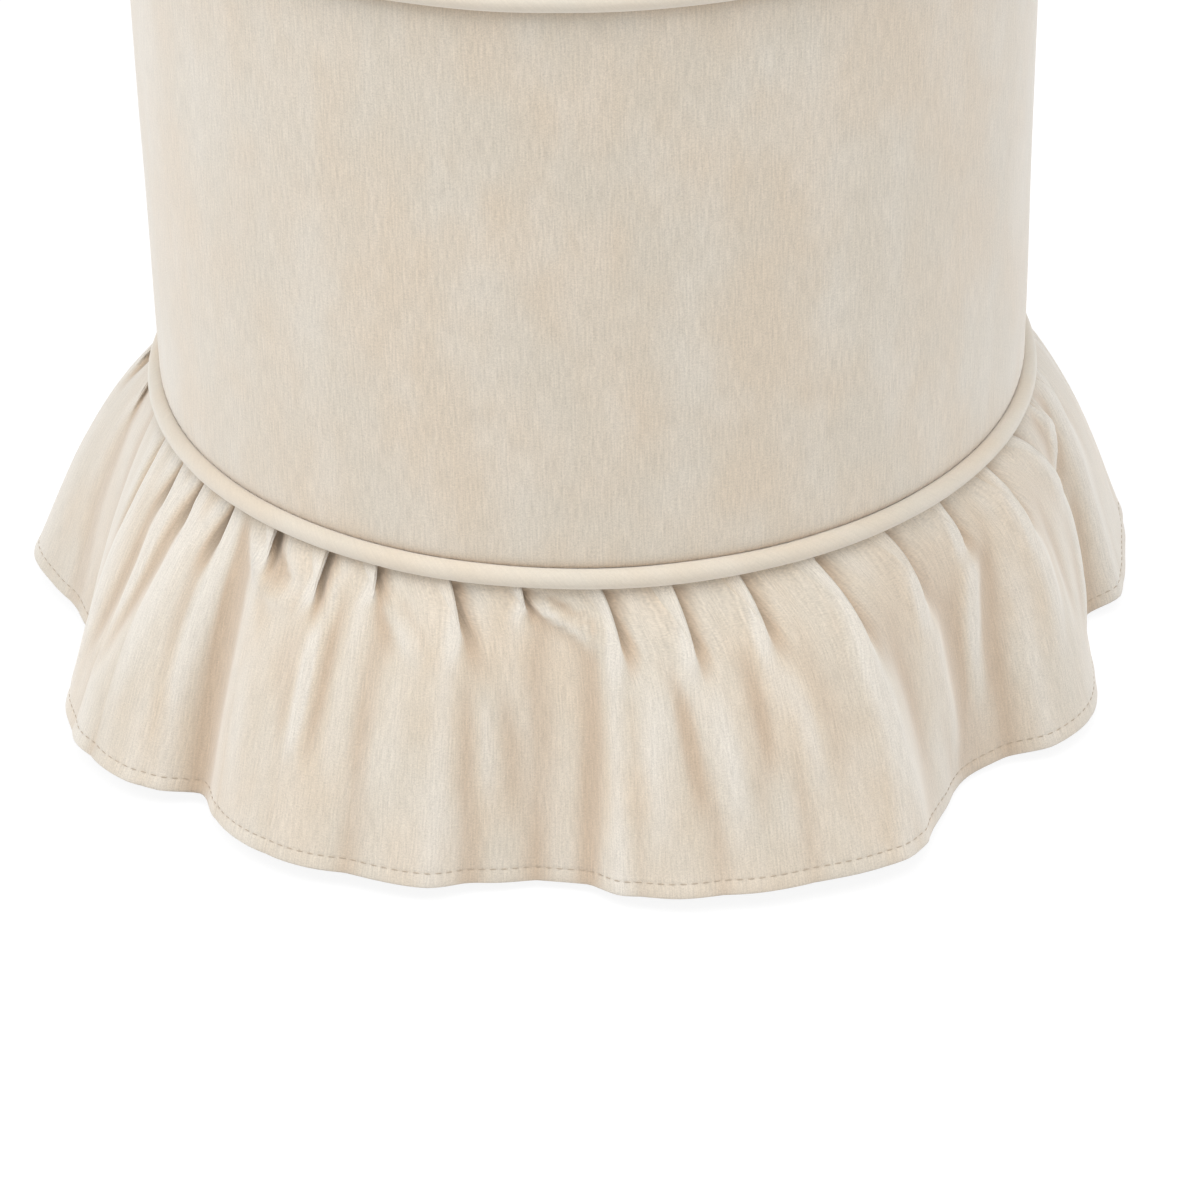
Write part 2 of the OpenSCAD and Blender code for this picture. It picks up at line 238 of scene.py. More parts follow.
FOAM_TRIM = 0.006
foam_r = foam_high.x
foam_profile = [(0, foam_low.z), (foam_r - FOAM_TRIM, foam_low.z), (foam_r, foam_low.z + FOAM_TRIM)]
foam_pad = turned("foam_pad", foam_profile + crown(foam_r, foam_high.z))
wear(foam_pad, foam)
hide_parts("seat_foam")
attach(foam_pad, "root")

# Polyester wadding softens the drum: a crowned layer over the foam and a wrap round the wall.
# It is a loose web of white fibres, glued at a few spots, so its faces are soft and uneven.
wadding = grained(
    "polyester_wadding", (0.86, 0.86, 0.85), 1.0, stretch=(260, 260, 90), detail=8.0, rough=0.7,
    low=(0.78, 0.78, 0.77), high=(0.92, 0.92, 0.91), edge=(0.35, 0.65), depth=0.0015,
)

WADDING_HUMPS = 0.0004
WADDING_HUMP_SIZE = 0.035
SEAT_WADDING_T = 0.006
LAYER_GAP = 0.0002
top_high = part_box("seat_wadding")[1]
wrap_low, wrap_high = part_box("side_wadding")
under_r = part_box("drum_wall")[1].x + LAYER_GAP
top_layer = turned(
    "wadding_crown",
    crown(top_high.x, top_high.z)[::-1] + crown(under_r, top_high.z - SEAT_WADDING_T),
)
lower_piping_z = (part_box("lower_welt_cord")[0].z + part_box("lower_welt_cord")[1].z) / 2
upper_piping_z = (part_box("upper_welt_cord")[0].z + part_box("upper_welt_cord")[1].z) / 2
PIPING_HALF = 0.0045
# The wrap is hollowed for the band and for the sewn strips of both pipings, which lie against its outer face
BAND_ROOM = 0.0014
BAND_TOP = 0.005
STRIP_ROOM = 0.0020
STRIP_START = 0.001
STRIP_REACH = 0.0125
HOLLOW_SLOPE = 0.002
TOP_ROUND = 0.001
band_face_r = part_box("lower_band")[1].x - BAND_ROOM
strip_face_r = wrap_high.x - STRIP_ROOM
wrap_profile = [
    (under_r, wrap_low.z),
    (band_face_r, wrap_low.z),
    (band_face_r, lower_piping_z - BAND_TOP),
    (strip_face_r, lower_piping_z - STRIP_START),
    (strip_face_r, lower_piping_z + STRIP_REACH),
    (wrap_high.x, lower_piping_z + STRIP_REACH + HOLLOW_SLOPE),
    (wrap_high.x, upper_piping_z - STRIP_REACH - HOLLOW_SLOPE),
    (strip_face_r, upper_piping_z - STRIP_REACH),
    (strip_face_r, upper_piping_z + STRIP_START),
    (wrap_high.x - TOP_ROUND, upper_piping_z + PIPING_HALF),
    (under_r, seat_rim_z),
    (under_r, wrap_low.z),
]
side_layer = turned("wadding_wrap", wrap_profile)


def reach_of(places):
    """How far each place is from the drum's axis."""
    return np.hypot(places[:, 0], places[:, 1])


def outward_of(places):
    """The level direction away from the drum's axis at each place, one metre long."""
    return places * (1, 1, 0) / np.maximum(reach_of(places), 0.001)[:, None]


for piece, node in ((top_layer, "seat_wadding"), (side_layer, "side_wadding")):
    places = points_of(piece)
    humps = unevenness(places, WADDING_HUMP_SIZE) - 1
    move_points(piece, places + outward_of(places) * (humps * WADDING_HUMPS)[:, None])
    wear(piece, wadding)
    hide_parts(node)
    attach(piece, "root")

# The side cover is one panel of ribbed cotton velvet, 400 mm across once sewn into a tube.
# Its ribs run up the drum, it is turned in at both pipings, and its one seam is at the back.
VELVET_T = 0.0014
SEAM_TUCK = 0.0011
SEAM_ROUND = 0.006
drum_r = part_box("side_cover")[1].x
GRAIN_CONTRAST = 0.155


def velvet_finish(name, ground, deep, sheen_colour, grain=1.0):
    """Ribbed velvet: fine ribs along V, short bright streaks, patches of painted sheen, and painted light on
    the folds.

    The fold attribute is 0.5 on flat cloth. It is more on a ridge, which gets a painted highlight,
    and less in a crease, which is painted darker and warmer as painted shade. Below 0.15 it is the
    pocket under a tuck, which is painted darker still as painted shadow. grain is how much the ribs show.
    """
    finish = new_finish(
        name, ground, 0.9, Sheen_Weight=0.88, Sheen_Roughness=0.6, Sheen_Tint=(1.0, 0.975, 0.935, 1),
        Specular_IOR_Level=0.1,
    )
    ribs = speckle(finish, "UV", (1250, 95, 1), detail=1.0)
    slubs = speckle(finish, "UV", (800, 850, 1), detail=2.0, rough=0.7)
    pile = speckle(finish, "UV", (1600, 1600, 1), detail=1.0)
    patches = speckle(finish, "UV", (34, 13, 1), detail=3.0, rough=0.55)
    tints = speckle(finish, "UV", (19, 13, 1), detail=2.0, rough=0.5)
    cool = (ground[0] * 0.985, ground[1] * 1.005, ground[2] * 1.025)
    warm = (ground[0] * 1.015, ground[1] * 0.985, ground[2] * 0.955)
    plain = between(finish, tints, cool, warm, (0.40, 0.60))
    # Patches of painted sheen: the cloth is painted towards the sheen colour where the pile would catch more
    # light
    sheen_patch_share = between(finish, patches, (0, 0, 0), (0.34, 0.34, 0.34), (0.44, 0.66))
    with_sheen_patches = add_node(finish, "MixRGB", {"Fac": sheen_patch_share, "Color1": plain, "Color2": (*sheen_colour, 1)})
    fold = add_node(finish, "Attribute", {}, output="Fac", attribute_name="fold")
    # Painted light read from the fold attribute: painted shade in creases, painted shadow in the pockets
    # under tucks, and a painted highlight on ridges
    crease_shade_share = between(finish, fold, (1, 1, 1), (0, 0, 0), (0.15, 0.5))
    hidden = between(finish, fold, (0.55, 0.55, 0.55), (1, 1, 1), (0.0, 0.15))
    ridge_highlight_share = between(finish, fold, (0, 0, 0), (0.8, 0.8, 0.8), (0.52, 0.85))
    with_crease_shade = add_node(finish, "MixRGB", {"Fac": crease_shade_share, "Color1": with_sheen_patches, "Color2": (*deep, 1)})
    with_ridge_highlight = add_node(finish, "MixRGB", {"Fac": ridge_highlight_share, "Color1": with_crease_shade, "Color2": (*sheen_colour, 1)})
    thread = add_node(finish, "Math", {0: ribs, 1: slubs}, operation="ADD")
    thread = add_node(finish, "Math", {0: thread, 1: pile}, operation="ADD")
    thread = add_node(finish, "Math", {0: thread, 1: 3.0}, operation="DIVIDE")
    contrast = GRAIN_CONTRAST * grain
    shade = between(finish, thread, (1 - contrast,) * 3, (1 + contrast,) * 3, (0.36, 0.64))
    shown = with_ridge_highlight
    for darker in (shade, hidden):
        mixed = {"Fac": 1.0, "Color1": shown, "Color2": darker}
        shown = add_node(finish, "MixRGB", mixed, blend_type="MULTIPLY")
    colour_with(finish, shown)
    raise_with(finish, thread, 0.0004, 0.5 * grain)
    return finish


def paint_fold_light(piece, values):
    """Keeps how far each point of a velvet piece is painted lighter as a highlight or darker as shade, 0.5
    being plain.
    """
    mark = piece.data.attributes.new("fold", "FLOAT", "POINT")
    mark.data.foreach_set("value", np.clip(values, 0, 1))


def thicken(piece, thickness):
    """Gives a sheet its thickness, behind the face that shows."""
    bpy.ops.object.select_all(action="DESELECT")
    piece.select_set(True)
    bpy.context.view_layer.objects.active = piece
    solid = piece.modifiers.new("thickness", "SOLIDIFY")
    solid.thickness = thickness
    solid.offset = -1
    bpy.ops.object.modifier_apply(modifier=solid.name)


def angle_of(places):
    """The angle of each place round the drum, 0 at the front and growing to the right."""
    return np.arctan2(places[:, 0], -places[:, 1])


def corners_of(piece):
    """The number of the point at each corner of each face."""
    corner = np.zeros(len(piece.data.loops), int)
    piece.data.loops.foreach_get("vertex_index", corner)
    return corner


def lay_cloth(piece, along, lean=0.0):
    """Lays a UV map in metres over a round piece. U goes round the drum, V along the cloth.

    lean turns the map, for cloth that is cut on the bias.
    """
    places = points_of(piece)
    faces = piece.data.polygons
    start, sides = np.zeros(len(faces), int), np.zeros(len(faces), int)
    faces.foreach_get("loop_start", start)
    faces.foreach_get("loop_total", sides)
    corner = corners_of(piece)
    turn = angle_of(places)[corner]
    furthest = np.repeat(np.maximum.reduceat(turn, start), sides)
    turn = np.where(furthest - turn > math.pi, turn + 2 * math.pi, turn) * drum_r
    rise = along(places)[corner]
    across = turn * math.cos(lean) + rise * math.sin(lean)
    down = rise * math.cos(lean) - turn * math.sin(lean)
    cloth = piece.data.uv_layers.new(name="cloth")
    cloth.data.foreach_set("uv", np.stack([across, down], axis=1).ravel())


def puckers(places, pitch, drift, drift_size):
    """Fine waves round the drum, between -1 and 1 and about this pitch apart."""
    waver = drift * unevenness(places * (1, 1, 0.2), drift_size)
    return np.sin(angle_of(places) * drum_r / pitch * 2 * math.pi + waver)


def widened(places, scale):
    """The places moved away from the drum's axis by these factors, each at its own height."""
    return places * np.stack([scale, scale, np.ones(len(scale))], axis=1)


# Its last two colours are the painted crease shade and the painted highlight and sheen colour
velvet = velvet_finish("ribbed_velvet", (0.648, 0.568, 0.463), (0.55, 0.43, 0.315), (0.74, 0.695, 0.625))

SIDE_EDGE = 0.0038
SIDE_ROWS = 60
ROUND_STEPS = (0.08, 0.3, 0.6, 1)
side_low, side_high = lower_piping_z + SIDE_EDGE, upper_piping_z - SIDE_EDGE
flat_h = side_high - side_low - 2 * SEAM_ROUND
rounding = [(drum_r - SEAM_TUCK * (1 - step) ** 2, SEAM_ROUND * step) for step in ROUND_STEPS]
side_profile = [(drum_r - SEAM_TUCK, side_low)] + [(out, side_low + rise) for out, rise in rounding]
side_profile += [(drum_r, side_low + SEAM_ROUND + flat_h * row / SIDE_ROWS) for row in range(1, SIDE_ROWS)]
side_profile += [(out, side_high - rise) for out, rise in rounding[::-1]] + [(drum_r - SEAM_TUCK, side_high)]
side_panel = turned("velvet_side", side_profile, steps=720)

# The padding shows through as a very slight unevenness, the sewn edges pucker, and the back seam sinks in
PADDING_HUMPS = 0.0003
PADDING_HUMP_SIZE = 0.07
PADDING_EDGE = 0.02
PUCKER_PITCH = 0.0075
PUCKER_H = 0.0001
PUCKER_REACH = 0.009
BACK_SEAM_DEPTH = 0.0009
BACK_SEAM_HALF_WIDTH = 0.0016
# Painted shade: next to both pipings the cloth is painted darker, over this reach, as the shade in the seam
# lines
SEAM_SHADE = 0.45
SEAM_SHADE_REACH = 0.0016
places = points_of(side_panel)
from_seam = np.minimum(places[:, 2] - side_low, side_high - places[:, 2])
relief = PADDING_HUMPS * unevenness(places, PADDING_HUMP_SIZE) * np.minimum(from_seam / PADDING_EDGE, 1)
pucker = puckers(places, PUCKER_PITCH, drift=2, drift_size=0.03)
relief += PUCKER_H * pucker * np.exp(-from_seam / PUCKER_REACH)
off_seam = (math.pi - np.abs(angle_of(places))) * drum_r
relief -= BACK_SEAM_DEPTH * np.exp(-((off_seam / BACK_SEAM_HALF_WIDTH) ** 2))
move_points(side_panel, widened(places, 1 + relief / drum_r))
lay_cloth(side_panel, lambda places: places[:, 2])
paint_fold_light(side_panel, 0.5 - SEAM_SHADE * np.exp(-from_seam / SEAM_SHADE_REACH))
thicken(side_panel, VELVET_T)
wear(side_panel, velvet)
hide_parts("side_cover")
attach(side_panel, "root")

# The seat cover is a round panel of the same velvet, pulled down over the crown and sewn at the upper piping.
# Its ribs run from the front to the back, and the seam gathers its rim into fine radial puckers.
seat_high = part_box("seat_cover")[1]
RIM_DROP = 0.0006
RIM_PUCKER_PITCH = 0.011
RIM_PUCKER_H = 0.00024
RIM_PUCKER_START = 0.003
RIM_PUCKER_REACH = 0.020
SEAT_HUMPS = 0.0005
SEAT_HUMP_SIZE = 0.06
SEAT_HUMP_EDGE = 0.02
CROWN_TURN = 0.03
SEAT_SHADING_SCALE = 0.006
rim = (drum_r - SEAM_TUCK, seat_rim_z - RIM_DROP)
seat_panel = turned("velvet_seat", [rim] + crown(drum_r, seat_high.z), steps=540)
places = points_of(seat_panel)
from_rim = (places[:, 2] - seat_rim_z) + (drum_r - reach_of(places))
pucker = puckers(places, RIM_PUCKER_PITCH, drift=3, drift_size=0.025)
relief = RIM_PUCKER_H * pucker * np.exp(-from_rim / RIM_PUCKER_REACH)
relief *= np.minimum(from_rim / RIM_PUCKER_START, 1)
relief += SEAT_HUMPS * unevenness(places, SEAT_HUMP_SIZE) * np.minimum(from_rim / SEAT_HUMP_EDGE, 1)
lean_in = np.minimum(from_rim / CROWN_TURN, 1)[:, None]
away = outward_of(places) * (1 - lean_in) + lean_in * (0, 0, 1)
move_points(seat_panel, places + away * relief[:, None])
# Painted light and shade: where the cover stands up it is painted lighter, and where it dips, darker
paint_fold_light(seat_panel, 0.5 + relief / SEAT_SHADING_SCALE)
seat_cloth = seat_panel.data.uv_layers.new(name="cloth")
seat_cloth.data.foreach_set("uv", points_of(seat_panel)[corners_of(seat_panel)][:, :2].ravel())
thicken(seat_panel, VELVET_T)
wear(seat_panel, velvet)
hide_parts("seat_cover")
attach(seat_panel, "root")

# A band of plain cotton hangs from the lower piping behind the skirt, so that the frame never shows.
# It is pulled round the base board's edge, turned in by 25 mm and stapled there.
lining = new_finish("plain_cotton", (0.62, 0.56, 0.46), 0.9)
lining_place = place_on(lining, "UV", (1, 1, 1))
weave = {"Vector": lining_place, "Scale": 420.0, "Distortion": 1.0}
warp, weft = [add_node(lining, "TexWave", weave, bands_direction=way) for way in ("X", "Y")]
lining_weave = add_node(lining, "Math", {0: warp, 1: weft}, operation="MULTIPLY")
colour_with(lining, between(lining, lining_weave, (0.54, 0.48, 0.38), (0.66, 0.60, 0.50), (0.1, 0.7)))
raise_with(lining, lining_weave, 0.0002)

band_low, band_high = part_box("lower_band")
TURN_IN_LAP = 0.0125
turn_in_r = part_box("dust_cover")[1].x - TURN_IN_LAP
LINING_T = 0.0012
BAND_ROUND = 0.003
BAND_ROWS = 16
BAND_ROUND_STEPS = 4
straight_h = band_high.z - band_low.z - BAND_ROUND
band_profile = [(band_high.x, band_high.z - straight_h * row / BAND_ROWS) for row in range(BAND_ROWS + 1)]
for step in range(1, BAND_ROUND_STEPS + 1):
    turn = math.radians(90 * step / BAND_ROUND_STEPS)
    round_in, round_down = BAND_ROUND * (1 - math.cos(turn)), BAND_ROUND * (1 - math.sin(turn))
    band_profile.append((band_high.x - round_in, band_low.z + round_down))
band_profile.append((turn_in_r, band_low.z))
lining_band = turned("lining_band", band_profile)
lay_cloth(lining_band, lambda places: places[:, 2] - reach_of(places))
thicken(lining_band, LINING_T)
wear(lining_band, lining)
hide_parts("lower_band")
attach(lining_band, "root")

# Each piping holds a soft cotton cord, 6 mm thick and laid from three strands.
# A strand crosses the top of the cord every 18 mm, so each winds once round in 54 mm.
cotton = grained(
    "cotton_cord", (0.80, 0.77, 0.70), 0.9, stretch=(700, 700, 700), detail=5.0,
    low=(0.70, 0.66, 0.58), high=(0.86, 0.83, 0.77), edge=(0.35, 0.65), depth=0.0003,
)

CORD_R = 0.0031
STRAND_STEP = 0.018
STRANDS = 3
STRAND_DIP = 0.0007
piping_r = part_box("lower_welt_cover")[1].x - PIPING_HALF
crossings = round(2 * math.pi * piping_r / STRAND_STEP)
for name, node, height in (
    ("upper_piping_cord", "upper_welt_cord", upper_piping_z),
    ("lower_piping_cord", "lower_welt_cord", lower_piping_z),
):
    bpy.ops.mesh.primitive_torus_add(
        major_radius=piping_r, minor_radius=CORD_R, major_segments=480, minor_segments=18,
        location=(0, 0, height),
    )
    cord = bpy.context.object
    cord.name = cord.data.name = name
    bpy.ops.object.transform_apply(location=True)
    places = points_of(cord)
    turn = angle_of(places)
    out = reach_of(places)
    around = np.arctan2(places[:, 2] - height, out - piping_r)
    dip = 1 - STRAND_DIP / CORD_R * (0.5 - 0.5 * np.cos(STRANDS * (around + crossings * turn / STRANDS)))
    out = piping_r + (out - piping_r) * dip
    places[:, 0], places[:, 1] = out * np.sin(turn), -out * np.cos(turn)
    places[:, 2] = height + (places[:, 2] - height) * dip
    move_points(cord, places)
    bpy.ops.object.shade_smooth()
    wear(cord, cotton)
    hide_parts(node)
    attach(cord, "root")

# Each piping is a strip of velvet cut on the bias and folded round its cord, 9 mm thick over all.
# Its two raw edges lie flat behind the side cover, where the seam holds them.
# Its last two colours are the painted crease shade and the painted highlight and sheen colour
bias_velvet = velvet_finish(
    "bias_velvet", (0.67, 0.602, 0.503), (0.58, 0.48, 0.38), (0.72, 0.67, 0.59), grain=0.35
)

PIPING_CLOTH_T = 0.0008
STRIP_W = 0.012
STRIP_T = 0.0016
STRIP_DEPTH = 0.0017
STRIP_BEND = 0.0004
PIPING_SIDES = 28
PIPING_EDGE = 0.003
PIPING_SWELL = 0.035
PIPING_SWELL_SIZE = 0.03
PIPING_WANDER = 0.00025
PIPING_WANDER_SIZE = 0.045
strip_out_r = drum_r - STRIP_DEPTH
strip_in_r = strip_out_r - STRIP_T
for name, node, height, way in (
    ("upper_piping", "upper_welt_cover", upper_piping_z, -1),
    ("lower_piping", "lower_welt_cover", lower_piping_z, 1),
):
    first = math.acos((strip_out_r - piping_r) / PIPING_HALF)
    last = -math.acos((strip_in_r + STRIP_BEND - piping_r) / PIPING_HALF)
    profile = [(strip_out_r, height + way * STRIP_W)]
    for side in range(PIPING_SIDES + 1):
        turn = first + (last - first) * side / PIPING_SIDES
        profile.append((piping_r + PIPING_HALF * math.cos(turn), height + way * PIPING_HALF * math.sin(turn)))
    profile += [(strip_in_r, height - way * PIPING_CLOTH_T), (strip_in_r, height + way * STRIP_W)]
    piping = turned(name, profile, steps=720)
    places = points_of(piping)
    turn = angle_of(places)
    ring = np.stack([np.sin(turn), -np.cos(turn), np.zeros(len(turn))], axis=1)
    around = places - ring * piping_r - (0, 0, height)
    show = np.clip((reach_of(places) - drum_r + PIPING_EDGE) / PIPING_EDGE, 0, 1)
    on_ring = ring * 0.2 + (0, 0, height)
    wander = PIPING_WANDER * unevenness(on_ring, PIPING_WANDER_SIZE) * show
    swell = 1 + PIPING_SWELL * unevenness(on_ring + (0, 0, 1), PIPING_SWELL_SIZE) * show
    places = ring * piping_r + (0, 0, height) + around * swell[:, None]
    places[:, 2] += wander
    move_points(piping, places)
    lay_cloth(
        piping,
        lambda places: np.arctan2(places[:, 2] - height, reach_of(places) - piping_r) * PIPING_HALF,
        lean=math.radians(45),
    )
    paint_fold_light(piping, np.full(len(places), 0.5))
    thicken(piping, PIPING_CLOTH_T)
    wear(piping, bias_velvet)
    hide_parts(node)
    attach(piping, "root")

# The skirt is a straight strip of velvet, 1.83 m long, tucked by hand into the lower seam.
# Each tuck folds the cloth over itself by about 7 mm and opens on its way down, and the spare cloth then
# stands out in broad folds at the hem, which is turned up and topstitched.
skirt_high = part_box("skirt")[1]
SKIRT_DROP = 0.137
SKIRT_REACH = 0.056
SKIRT_T = 0.0009
HEM_H = 0.0102
HEM_LIFT_SHARE = 0.2
# On its way down the cloth bows outwards, most at the sides
BOW_SHARE = 0.55
BOW_SIDE_SHARE = 0.15
BOW_SQUARENESS = 1.5
FIRST_TUCK_ANGLE = 0.5
# Widths of the cloth between one tuck and the next, starting at the front and going to the right
TUCK_WIDTH_SHARES = (
    0.90, 0.90, 1.02, 1.16, 1.06, 1.14, 0.89, 1.16, 0.95, 1.15, 1.00, 1.20, 0.95, 1.05, 1.15, 1.10, 0.90,
    1.20, 1.05, 1.00, 1.15, 1.10, 0.95, 1.20, 1.00, 1.05, 1.05, 0.87, 0.84, 0.79, 0.69, 0.79, 0.92, 0.91,
    0.76, 1.03, 0.95, 1.02,
)
# The hem's broad folds: how far the hem stands out from the drum at each angle, as a share of its mean reach
HEM_SHARES = (
    (-120, 0.98), (-112, 1.08), (-106, 1.30), (-99, 1.37), (-93, 1.10), (-88, 0.85), (-83, 0.75),
    (-78, 0.88), (-67, 1.17), (-62, 1.24), (-54, 1.16), (-51, 1.02), (-48, 0.73), (-43, 0.93), (-34, 1.09),
    (-25, 0.98), (-18, 0.93), (-13, 0.72), (-6, 0.59), (-2, 0.63), (2, 0.87), (9, 1.00), (30, 1.14),
    (33, 1.06), (36, 0.87), (39, 0.73), (47, 0.48), (52, 0.60), (56, 0.86), (62, 0.96), (71, 0.76),
    (82, 0.57), (84, 0.60), (87, 0.88), (96, 1.02), (105, 1.17), (118, 0.86), (134, 1.16), (149, 0.95),
    (155, 0.67), (161, 0.88), (180, 1.05), (191, 0.96), (197, 0.70), (202, 0.97), (211, 1.13), (223, 0.92),
    (228, 0.72), (232, 1.00),
)
# How each tuck is folded: overlap in millimetres, height of its edge a little below the seam, depth of the
# pocket beside the edge, share of the drop over which it stays folded, share at which its height has halved,
# and how many degrees it drifts to the right on its way down. A tuck with a negative overlap isn't folded
# over: it is pushed into a crease with a wide left bank and a steep right one, and the cloth to its right
# stands higher.
FRONT_TUCKS = {
    27: (5.0, 2.4, 0.8, 0.30, 0.50, 0.0), 28: (-3.0, 0.8, 0.6, 0.30, 0.60, 0.0),
    29: (-4.0, 1.2, 7.0, 0.22, 0.40, 1.3), 30: (-4.0, 1.0, 8.0, 0.24, 0.42, 2.2),
    31: (-4.0, 1.0, 8.0, 0.24, 0.40, 0.6), 32: (-4.0, 1.0, 8.0, 0.26, 0.30, 0.0),
    33: (6.0, 3.4, 4.2, 0.18, 0.26, 0.8), 34: (7.0, 3.8, 3.4, 0.26, 0.32, 0.5),
    35: (6.5, 3.4, 2.6, 0.15, 0.28, 1.6), 36: (7.0, 4.0, 2.2, 0.30, 0.36, 3.6),
    37: (6.5, 3.4, 2.6, 0.13, 0.18, 2.0), 0: (7.5, 4.0, 1.8, 0.34, 0.36, 3.2),
    1: (7.5, 4.2, 1.8, 0.38, 0.38, 2.6), 2: (7.0, 4.2, 1.8, 0.32, 0.38, 2.9),
    3: (8.5, 5.4, 1.8, 0.48, 0.75, 4.6), 4: (8.5, 5.0, 1.6, 0.42, 0.60, 4.2),
    5: (7.0, 4.6, 1.6, 0.28, 0.40, 3.4), 6: (8.0, 5.2, 1.6, 0.40, 0.50, 3.0),
    7: (8.5, 5.6, 1.6, 0.46, 0.70, 8.0), 8: (4.0, 2.6, 1.0, 0.20, 0.40, 3.0),
}
USUAL_TUCKS = (
    (7.5, 4.6, 2.4, 0.32, 0.50, 2.5), (7.0, 4.2, 3.0, 0.24, 0.34, 1.5), (8.0, 5.0, 2.2, 0.42, 0.75, 3.0),
    (7.0, 4.0, 3.2, 0.20, 0.30, 0.5), (7.5, 4.8, 2.2, 0.35, 0.55, 2.0),
)
TUCK_TOP_H = 2.3
EDGE_RISE_DROP = 0.10
EDGE_FADE_POWER = 3
DRIFT_DROP = 0.16
# How tightly the cloth is folded at the seam: above 1 it lies over itself
FOLD_TIGHTNESS = 2.4
CREASE_TIGHTNESS = 0.8
FOLD_SPAN = 1.75
FOLD_SPAN_LIMIT = 0.46
FOLD_SOFTENING_DROP = 0.6
FOLD_EDGE_POWER = 6
# A pocket lies just under its tuck's edge: at 0.80 of the span when tightly folded, and nearer once it opens
POCKET_START_DROP = 0.02
POCKET_FADE_SHARE = 0.7
POCKET_AT, POCKET_AT_UPRIGHT, POCKET_AT_FOLDED = 0.12, 0.31, 0.37
POCKET_HALF, POCKET_HALF_FOLDED = 0.28, -0.16
# Widths of a crease's banks at the seam, and what they gain on the way down
LEFT_BANK, LEFT_BANK_GAIN = 0.0030, 0.022
RIGHT_BANK, RIGHT_BANK_GAIN = 0.0017, 0.010
SWELL_H = 0.0012
SWELL_DROP = 0.2
# Ripples: how many there are to a degree and down the drop, and the layer of the noise that they come from
RIPPLE_H = 0.0007
BROAD_RIPPLES = (0.09, 2.2, 3.0)
FINE_RIPPLES = (0.25, 4.0, 9.0)
COLUMNS_PER_TUCK = 26
COLUMN_CROWDING = 0.6
SKIRT_ROWS = 31
ROW_CROWDING = 1.35
LAST_ROW_SHARE = 0.985
SEAM_ROWS = 2
SEAM_ROW_STEP = 0.0015
HEM_TURN_R = 0.0012
HEM_TURN_UP = 0.009
HEM_TURN_STEPS = 4
HEM_BACK_ROWS = 3
STITCH_LINE = 0.0055
STITCH_DIP = 0.00035
STITCH_DIP_REACH = 0.0008
